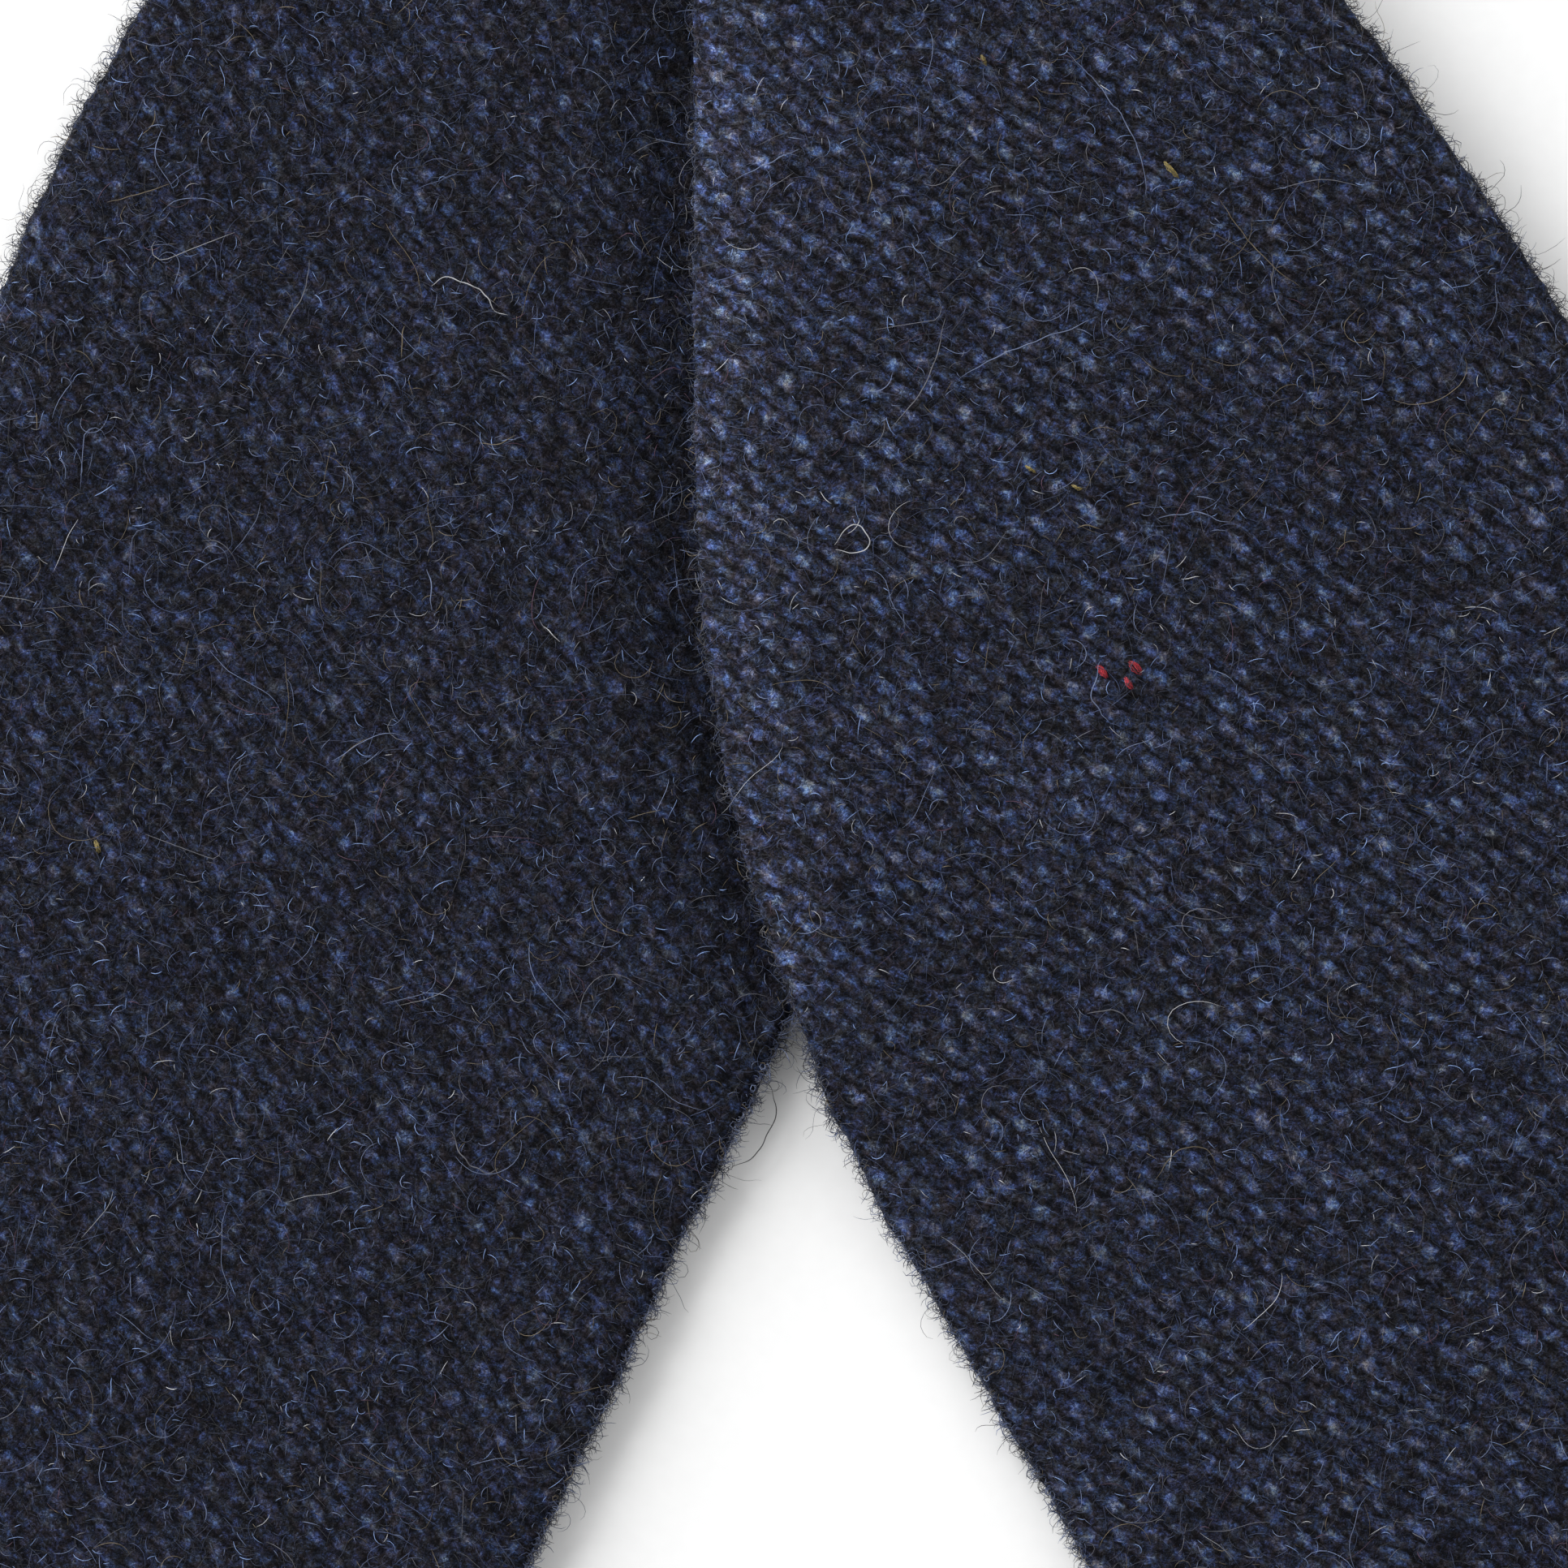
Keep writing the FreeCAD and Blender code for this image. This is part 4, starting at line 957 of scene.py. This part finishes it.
def blade_fibres(half, seed):
    blade, tip, joint = f"{half}_blade", TIP[half], FLAT_END[half]
    face, inner = (tip + 0.4, joint), (INNER[half], INNER[half])
    for number in range(3):
        fuzz(f"{blade}_fuzz_{number + 1}", half, 4600, *face, seed + number, "matted",
             (0.7, 3.2), (0.04, 0.36), (0.013, 0.025))
    fuzz(f"{blade}_loose_fibres", half, 760, *face, seed + 11, "loose",
         (1.6, 7.0), (0.12, 0.7), (0.015, 0.026), steps=14, curl=0.40, wander=0.20)
    edge_fuzz(f"{blade}_edge_fuzz", half, 2400, tip, joint, seed + 21, (0.7, 3.2), (0.012, 0.021))
    edge_fuzz(f"{blade}_apex_fuzz", half, 60, APEX_U - 4.0, APEX_U + 1.0, seed + 71, (0.8, 2.4), (0.016, 0.026),
              sides=inner)
    edge_fuzz(f"{blade}_gap_nap", half, 3400, tip, APEX_U - 1.0, seed + 75, (0.55, 1.35), (0.018, 0.030),
              steps=5, sides=inner, kind="inner_edge", low_level=1.1, curl=2.6)
    for number in range(2):
        edge_fuzz(f"{blade}_edge_nap_{number + 1}", half, 5000, tip, joint, seed + 81 + number, (0.55, 1.25),
                  (0.018, 0.030), steps=5, curl=2.6)
    fuzz(f"{blade}_flecks", half, 4000, *face, seed + 91, "fleck",
         (0.4, 1.6), (0.12, 0.42), (0.017, 0.030), steps=6, curl=1.1)
    if half == "right":
        edge_fuzz(f"{blade}_overlap_fuzz", half, 240, APEX_U, -20.0, seed + 95, (0.6, 1.8), (0.013, 0.022),
                  sides=inner, kind="inner_edge", low_level=1.7, curl=2.0)
    fuzz(f"{blade}_back_fuzz", half, 2600, *face, seed + 31, "matted",
         (0.9, 3.2), (0.02, 0.25), (0.020, 0.034), back=True)


STRAP_FIBRES = 8.0  # per millimetre of strap


def strap_fibres(half, seed):
    strap, joint, end = f"{half}_strap", FLAT_END[half], STRAP_END[half]
    count = int(STRAP_FIBRES * (end - joint))
    face, look = (joint, end - 0.5), ((0.9, 3.0), (0.05, 0.4), (0.020, 0.034))
    fuzz(f"{strap}_fuzz", half, count, *face, seed + 41, "matted", *look)
    fuzz(f"{strap}_back_fuzz", half, count // 2, *face, seed + 51, "matted", *look, back=True)
    edge_fuzz(f"{strap}_edge_fuzz", half, count // 2, *face, seed + 61, (0.6, 2.2), (0.016, 0.026))


for half, seed in (("left", 100), ("right", 200)):
    blade_fibres(half, seed)
    strap_fibres(half, seed)

# ---- coloured neps ----

NEP_RADIUS = 0.022  # of each of its fibres


def nep(random, row_x, row_y, degrees, length, width, colour, half):
    """A float dyed another colour, as a short bundle of fibres: their paths, radii and colours."""
    along, across = axes(half)
    direction = np.array([math.cos(math.radians(degrees)), math.sin(math.radians(degrees))])
    turned = np.array([direction @ np.array(along), direction @ np.array(across)])
    aside = np.array([-turned[1], turned[0]])
    u, y = from_row(half, row_x, row_y)
    count, steps = 24, 7
    share = np.linspace(-0.5, 0.5, steps)
    path = []
    for item in random.uniform(-0.5, 0.5, count):
        narrow = np.cos(share * 2.4) * (item * width) + random.normal(0, 0.035, steps)
        run = share * length * random.uniform(0.7, 1.1)
        height = 0.20 * np.cos(share * 2.9) * math.sqrt(max(0.0, 1 - (2 * item) ** 2)) + random.uniform(0, 0.05)
        path.append((u + turned[0] * run + aside[0] * narrow, y + turned[1] * run + aside[1] * narrow, height))
    path = np.array(path)
    level = surface_level(half, path[:, 0], path[:, 1]) + path[:, 2] + 0.03
    points = place(half, path[:, 0], path[:, 1], level)
    tint = np.array(colour)[None, :] * random.uniform(0.12, 1.7, (count, 1))
    return points, np.full(count, NEP_RADIUS), np.concatenate([tint, np.ones((count, 1))], axis=1)


RED, OLIVE = (0.40, 0.020, 0.035), (0.26, 0.20, 0.060)
NEPS = {
    # row x and y of the middle, direction, length, width, colour
    "right": [
        (16.74, -88.35, -52, 0.95, 0.46, RED), (18.79, -88.18, -48, 1.05, 0.50, RED),
        (18.35, -89.11, -58, 0.85, 0.42, RED), (22.08, -58.01, -50, 1.3, 0.26, OLIVE),
        (12.80, -75.83, -35, 0.8, 0.15, OLIVE), (15.60, -77.04, -25, 0.7, 0.14, OLIVE),
        (10.90, -50.93, -65, 0.7, 0.18, OLIVE),
    ],
    "left": [(-45.34, -96.59, -75, 0.8, 0.30, OLIVE), (-28.5, -161.0, -40, 0.8, 0.25, RED)],
}
for half, places in NEPS.items():
    random = np.random.default_rng(77 if half == "left" else 78)
    parts = [nep(random, *item, half) for item in places]
    wool(f"{half}_blade_neps", half, *(np.concatenate(items) for items in zip(*parts)))

# ---- stray fibres ----

STRAYS = {
    # colour, then x and y in the row frame of each point, for the few long fibres that catch the eye
    "right": [
        ("white", 0.63, -79.98, 1.42, -78.87, 2.17, -78.7, 2.74, -79.47, 2.86, -80.17, 2.1, -80.59, 0.71, -80.33),
        ("grey", 7.94, -66.52, 7.47, -68.34, 6.74, -70.41, 5.53, -71.85, 4.29, -73.05),
        ("pale", 20.5, -79.13, 21.55, -78.97, 22.4, -78.85, 23.05, -78.78, 23.93, -79.36, 24.97, -79.5),
        ("white", 21.75, -82.82, 22.84, -82.86),
        ("tan", 24.9, -59.96, 26.31, -62.01, 27.21, -63.2, 28.5, -64.59, 29.72, -65.39),
        ("grey", 28, -63.43, 28.04, -66.27, 28.88, -67.65),
        ("pale", 15.9, -50.54, 17.58, -52.35, 19.23, -54.65, 20.37, -57.19, 20.52, -59.69),
        ("tan", 18.88, -119.68, 19.69, -118.22, 20.96, -117.62, 22.2, -117.82, 22.55, -118.83),
        ("white", 19.84, -53.03, 20.53, -53.31),
        ("tan", 15.5, -79.53, 16.45, -79.36, 16.94, -79.68),
        ("pale", 8.64, -70.18, 11.19, -68.79, 14.72, -67.68, 17.25, -66.79),
        ("tan", 3.22, -56.01, 3.9, -57.78, 3.48, -59.51),
        ("pale", -4.56, -57.45, -2.79, -56.77, -0.51, -55.86),
        ("grey", 15.06, -109.31, 16.32, -108.87, 18.02, -110.03),
        ("pale", 16.67, -87.7, 15.83, -89.91, 17.02, -91.45),
        ("blue", -6.57, -64.09, -5.54, -63.39, -3.79, -63.21),
    ],
    "left": [
        ("white", -23.47, -62.92, -22.7, -62.46, -21.22, -62.86, -20.01, -63.66, -19.79, -64.56, -18.81, -65),
        ("grey", -30.87, -61.13, -31.2, -63.11, -31.99, -64.33, -32.9, -65.79),
        ("tan", -25.21, -65.35, -25.49, -67.33),
        ("tan", -43.17, -57.06, -41.41, -56.73, -39.24, -56.07),
        ("white", -17.43, -84.1, -16.38, -85.14),
        ("pale", -14.42, -73.5, -13.97, -72.27),
        ("blue", -39.07, -96.94, -38.86, -95.2, -38.08, -94.49, -36.68, -94.29),
        ("blue", -42.55, -106.52, -42.7, -108.01, -43.16, -109.49),
        ("grey", -24.29, -114.97, -23.61, -116.74, -22.16, -117.8, -21.4, -117.33),
        ("tan", -20.87, -72.75, -19.78, -72.94, -18.61, -72.34),
        ("pale", -24.41, -80.33, -24.11, -81.59, -24.26, -82.93),
        ("grey", -17.07, -90.09, -16.36, -89.72, -16.19, -89.13),
        ("charcoal", -5.25, -112.49, -5.69, -110.98, -5.3, -109.9, -4.39, -109.64, -3.52, -110.17, -3.46, -111.22,
         -4.22, -111.64),
        ("charcoal", -7.22, -118, -5.7, -117.46, -4.64, -115.76, -4.17, -114.03, -4.63, -113.02),
    ],
}


def rounded(points, passes=3):
    """An open line with its corners cut smooth; its ends stay."""
    line = np.array(points, float)
    for _ in range(passes):
        first, second = line[:-1] * 0.75 + line[1:] * 0.25, line[:-1] * 0.25 + line[1:] * 0.75
        line = np.concatenate([line[:1], np.stack([first, second], 1).reshape(-1, 2), line[-1:]])
    return line


def spread_evenly(line, count):
    """Evenly spaced points on a line, and their distances along it."""
    distance = np.concatenate([[0], np.cumsum(np.linalg.norm(np.diff(line, axis=0), axis=1))])
    places = np.linspace(0, distance[-1], count)
    return np.stack([np.interp(places, distance, line[:, k]) for k in (0, 1)], -1), places


def stray_fibres(half, fibres, steps=34):
    random = np.random.default_rng(len(half))
    wave = waves(91, 0.8, 2.5, 12)
    paths, colours = [], []
    for colour, *points in fibres:
        line, _ = spread_evenly(rounded(np.reshape(points, (-1, 2))), steps)
        x = line[:, 0] + 0.05 * wave(line[:, 0], line[:, 1])
        y = line[:, 1] + 0.05 * wave(line[:, 1], line[:, 0] + 9.0)
        u, across = from_row(half, x, y)
        rise = 0.20 + 0.22 * np.sin(math.pi * np.linspace(0, 1, steps)) + 0.08 * wave(x + 5.0, y)
        paths.append(place(half, u, across, surface_level(half, u, across) + rise))
        colours.append((*FIBRE_COLOURS[colour], 1.0))
    radii = random.uniform(0.027, 0.038, len(paths))
    wool(f"{half}_blade_stray_fibres", half, np.array(paths), radii, np.array(colours), sides=5)


for half, fibres in STRAYS.items():
    stray_fibres(half, fibres)

# ---- tapes ----

TAPE_HALF = 10.0
TAPE_THICK = 1.2
TAPE_ROUND = 0.5  # rounding of a tape's two edges
SLIDER_AT, SLIDER_HALF, SLIDER_LIFT = 104.0, 8.8, 1.4  # its centre bar lies SLIDER_LIFT outside the band
HOOK_BAR, EYE_BAR, FOLD = 132.0, 157.0, 1.5  # FOLD is the radius of a tape's middle line round a bar
RETURN = -2 * FOLD
HUMP = SLIDER_LIFT + FOLD + TAPE_THICK + 0.2  # the tape passes this far out, over the end sewn round the bar
PASS_LOW, PASS_HIGH = SLIDER_AT - SLIDER_HALF, SLIDER_AT + SLIDER_HALF


def arc_points(centre_u, centre_n, first, last, count=13):
    """The inner points of an arc of radius FOLD between two angles in degrees."""
    angles = np.radians(np.linspace(first, last, count))[1:-1]
    return [(centre_u + FOLD * math.cos(a), centre_n + FOLD * math.sin(a)) for a in angles]


def ribbon(name, line):
    """A tape standing on edge along a line of (distance from the crossing, distance outside the band)."""
    line = np.asarray(line, float)
    length = float(np.linalg.norm(np.diff(line, axis=0), axis=1).sum())
    line, run = spread_evenly(line, max(3, int(length / 0.16) + 1))
    run = run + PATTERN_START[name]
    tangent = np.gradient(line, axis=0)
    tangent /= np.linalg.norm(tangent, axis=1, keepdims=True)
    outward = np.stack([-tangent[:, 1], tangent[:, 0]], -1)
    corner = np.radians(np.linspace(-90, 90, 7))
    straight = TAPE_HALF - TAPE_ROUND
    heights = np.concatenate([
        straight + TAPE_ROUND * np.cos(corner[::-1]), np.linspace(straight, -straight, 30)[1:-1],
        -straight - TAPE_ROUND * np.cos(corner[::-1]), np.linspace(-straight, straight, 30)[1:-1],
    ])
    sides = np.concatenate([np.sin(corner), np.full(28, 1.0), np.sin(corner[::-1]), np.full(28, -1.0)])
    ribs = 0.045 * np.sin(2 * math.pi * run / RIB)[:, None]
    selvedge = 0.05 * smooth(np.abs(heights), TAPE_HALF - 1.6, TAPE_HALF - 1.2)
    thickness = sides * (TAPE_THICK / 2 - 0.05 + (ribs + selvedge) * (np.abs(sides) > 0.99))
    u = line[:, :1] + outward[:, :1] * thickness
    n = line[:, 1:] + outward[:, 1:] * thickness
    x, y = to_row("left", u, -n)
    z = np.broadcast_to(BAND_MIDDLE + heights, x.shape)
    points = np.stack([x, y, z], -1)
    index = np.arange(x.size).reshape(x.shape)
    following = np.roll(index, -1, axis=1)
    quads = np.stack([index[:-1], following[:-1], following[1:], index[1:]], -1).reshape(-1, 4)
    ends = [index[0, ::-1], index[-1]]
    cut = np.stack(np.broadcast_arrays(run[:, None], heights, sides * 3.0), -1).reshape(-1, 3)
    return build(name, points.reshape(-1, 3), quads, polygons=ends, attributes={"cut": cut}, material=TAPE), length


def tape(name, line, node, *bodies, ends=()):
    """A tape that rides on one body, or, given ends, stays fixed where it is placed."""
    piece, length = ribbon(name, line)
    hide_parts(node)
    if ends:
        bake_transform(piece)
    else:
        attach(piece, *bodies)


# where along the ribbon's pattern each tape starts
PATTERN_START = {
    "tape_lead": 0.0, "tape_pass": 12.4, "tape_run": 31.0, "tape_hook_fold": 45.0, "tape_return": 60.0,
    "tape_end": 75.0, "tape_eye": 90.0,
}
tape("tape_lead", [(81.2, 0), (PASS_LOW + 0.3, 0)], "adjuster_tape_lead", "left_half", "slider",
     ends=((82.6, 0), (PASS_LOW, 0)))
tape("tape_pass", rounded([
    (PASS_LOW + 0.1, 0), (PASS_LOW + 2.5, 0), (SLIDER_AT - 2.2, HUMP), (SLIDER_AT + 2.2, HUMP),
    (PASS_HIGH - 2.5, 0), (PASS_HIGH - 0.1, 0),
]), "adjuster_tape_pass", "slider")
tape("tape_run", [(PASS_HIGH - 0.3, 0), (HOOK_BAR - 4.8, 0)], "adjuster_tape_run", "slider", "right_half",
     ends=((PASS_HIGH, 0), (HOOK_BAR - 5, 0)))
tape("tape_hook_fold", [
    (HOOK_BAR - 5.0, 0), (HOOK_BAR, 0), *arc_points(HOOK_BAR, -FOLD, 90, -90), (HOOK_BAR, RETURN),
    (HOOK_BAR - 5.0, RETURN),
], "hook_fold", "right_half")
tape("tape_return", [(HOOK_BAR - 4.8, RETURN), (PASS_HIGH - 0.3, RETURN)], "adjuster_tape_return",
     "slider", "right_half", ends=((PASS_HIGH, RETURN), (HOOK_BAR - 5, RETURN)))
tape("tape_end", [
    (PASS_HIGH - 0.1, RETURN), (PASS_HIGH - 1.6, RETURN), (SLIDER_AT, SLIDER_LIFT - FOLD),
    *arc_points(SLIDER_AT, SLIDER_LIFT, -90, -270), (SLIDER_AT, SLIDER_LIFT + FOLD),
    (SLIDER_AT + 0.7, SLIDER_LIFT + FOLD),
], "adjuster_tape_end", "slider")
tape("tape_eye", [
    (163.9, 0), (EYE_BAR, 0), *arc_points(EYE_BAR, -FOLD, 90, 270), (EYE_BAR, RETURN), (162.6, RETURN),
], "eye_tape", "right_half")

# ---- stitches and label ----


def thread_piece(name, paths, radius, body, *nodes):
    colours = np.tile([0.02, 0.022, 0.036, 1.0], (len(paths), 1))
    piece = tubes(name, np.array(paths), np.full(len(paths), radius), colours, THREAD, sides=8)
    if nodes:
        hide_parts(*nodes)
    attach(piece, body)


STITCH_START, STITCH_PITCH, STITCH_LENGTH = 2.1, 4.0, 2.0


def slip_stitches(half):
    share = np.linspace(0, 1, 11)
    paths = []
    for number in range(9):
        u = STITCH_START + STITCH_PITCH * number + STITCH_LENGTH * share
        y = STRAP_HALF - 0.30 + 0.42 * np.sin(math.pi * share)
        z = 0.70 + 0.85 * share + 0.04 * math.sin(2.1 * number)
        paths.append(place(half, u, y, z))
    return paths


for half in ("left", "right"):
    thread_piece(f"{half}_slip_stitch_thread", slip_stitches(half), 0.17, BODY[half], f"{half}_slip_stitches")

TACK_U = 158.9  # start of the bar tack that holds the eye's tape
share = np.linspace(0, 1, 13)
tack_paths = []
for number in range(15):
    z = BAND_MIDDLE - 8.4 + 1.2 * number + 0.75 * share
    for outside, lean in ((0.55, 1), (RETURN - 0.55, -1)):
        x, y = to_row("left", TACK_U + 2.2 * share, -(outside + lean * 0.17 * np.sin(math.pi * share)))
        tack_paths.append(np.stack([x, y, z], -1))
for number in range(6):
    x, y = to_row("left", TACK_U + 0.85 + 0 * share, 0.5 + 2.0 * share)
    tack_paths.append(np.stack([x, y, BAND_MIDDLE - 7.5 + 3.0 * number + 0 * share], -1))
thread_piece("eye_tack_thread", tack_paths, 0.19, "right_half", "eye_tack")

LABEL_START, LABEL_LENGTH, LABEL_HALF = 98.0, 26.0, 6.0


def care_label():
    """A blank satin label with folded ends, sewn down at its corners."""
    rows, columns = 105, 49
    u = np.linspace(0, LABEL_LENGTH, rows)[:, None]
    across = np.linspace(-LABEL_HALF, LABEL_HALF, columns)[None, :]
    from_end = np.minimum(u, LABEL_LENGTH - u)
    bow = 0.10 * np.sin(math.pi * u / LABEL_LENGTH) * (1 + 0.5 * np.cos(across * 0.6 + u * 0.4))
    fold_step = 0.10 * (1 - smooth(from_end, 2.2, 2.7))
    edge = 0.06 * (1 - smooth(LABEL_HALF - np.abs(across), 0, 0.5))
    outer = -0.24 - bow - fold_step + edge
    inner = np.full((rows, columns), -0.06)
    u, across = np.broadcast_arrays(u, across)
    points = [place("right", LABEL_START + u, across, level).reshape(-1, 3) for level in (outer, inner)]
    size = rows * columns
    upper, lower = np.arange(2 * size).reshape(2, rows, columns)
    quads = [grid_quads(rows, columns, 0, False), grid_quads(rows, columns, size, True),
             wall(upper[:, 0], lower[:, 0], True), wall(upper[:, -1], lower[:, -1], False),
             wall(upper[0], lower[0], False), wall(upper[-1], lower[-1], True)]
    cut = np.stack([np.tile(u.ravel(), 2), np.tile(across.ravel(), 2), np.repeat([0.0, 3.0], size)], -1)
    piece = build("care_label_satin", np.concatenate(points), np.concatenate(quads),
                  attributes={"cut": cut}, material=LABEL)
    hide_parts("care_label")
    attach(piece, "right_half")


care_label()
share = np.linspace(0, 1, 9)
label_paths = [
    place("right", LABEL_START + end, -5.2 + 1.4 * number + 0.9 * share, -0.26 - 0.20 * np.sin(math.pi * share))
    for end in (1.3, LABEL_LENGTH - 1.3) for number in range(8)
]
thread_piece("care_label_thread", label_paths, 0.10, "right_half")

# ---- fittings ----

for node in ("slider", "hook", "eye"):
    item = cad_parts[node]
    for slot in item.material_slots:
        slot.material = NICKEL
    if not item.material_slots:
        item.data.materials.append(NICKEL)

# ---- floor and light ----

FLOOR_HALF, FLOOR_LEVEL = 6.0, -0.0001
floor_mesh = bpy.data.meshes.new("floor")
floor_mesh.from_pydata([
    (x * FLOOR_HALF, y * FLOOR_HALF, FLOOR_LEVEL) for x, y in ((-1, -1), (1, -1), (1, 1), (-1, 1))
], [], [(0, 1, 2, 3)])
floor = bpy.data.objects.new("floor", floor_mesh)
bpy.context.collection.objects.link(floor)
floor_mesh.materials.append(floor_material())


def softbox(name, azimuth, elevation, distance, size, power):
    """A square light aimed at the middle of the photographed area; azimuth is from +X towards +Y."""
    data = bpy.data.lights.new(name, "AREA")
    data.shape = "SQUARE"
    data.size = size
    data.energy = power
    lamp = bpy.data.objects.new(name, data)
    bpy.context.collection.objects.link(lamp)
    a, e = math.radians(azimuth), math.radians(elevation)
    offset = np.array([math.cos(a) * math.cos(e), math.sin(a) * math.cos(e), math.sin(e)]) * distance
    lamp.location = (VIEW_CENTRE[0] * MM + offset[0], VIEW_CENTRE[1] * MM + offset[1], offset[2])
    lamp.rotation_euler = (0, math.pi / 2 - e, a)


softbox("key", 132, 28, 1.0, 0.7, 16.5)
softbox("side", 8, 40, 1.0, 0.5, 1.5)
world = bpy.data.worlds.new("studio")
bpy.context.scene.world = world
world.use_nodes = True
background = world.node_tree.nodes["Background"]
background.inputs[0].default_value = (1.0, 1.0, 1.0, 1.0)
background.inputs[1].default_value = 0.50

# ---- scene update ----

bpy.context.view_layer.update()
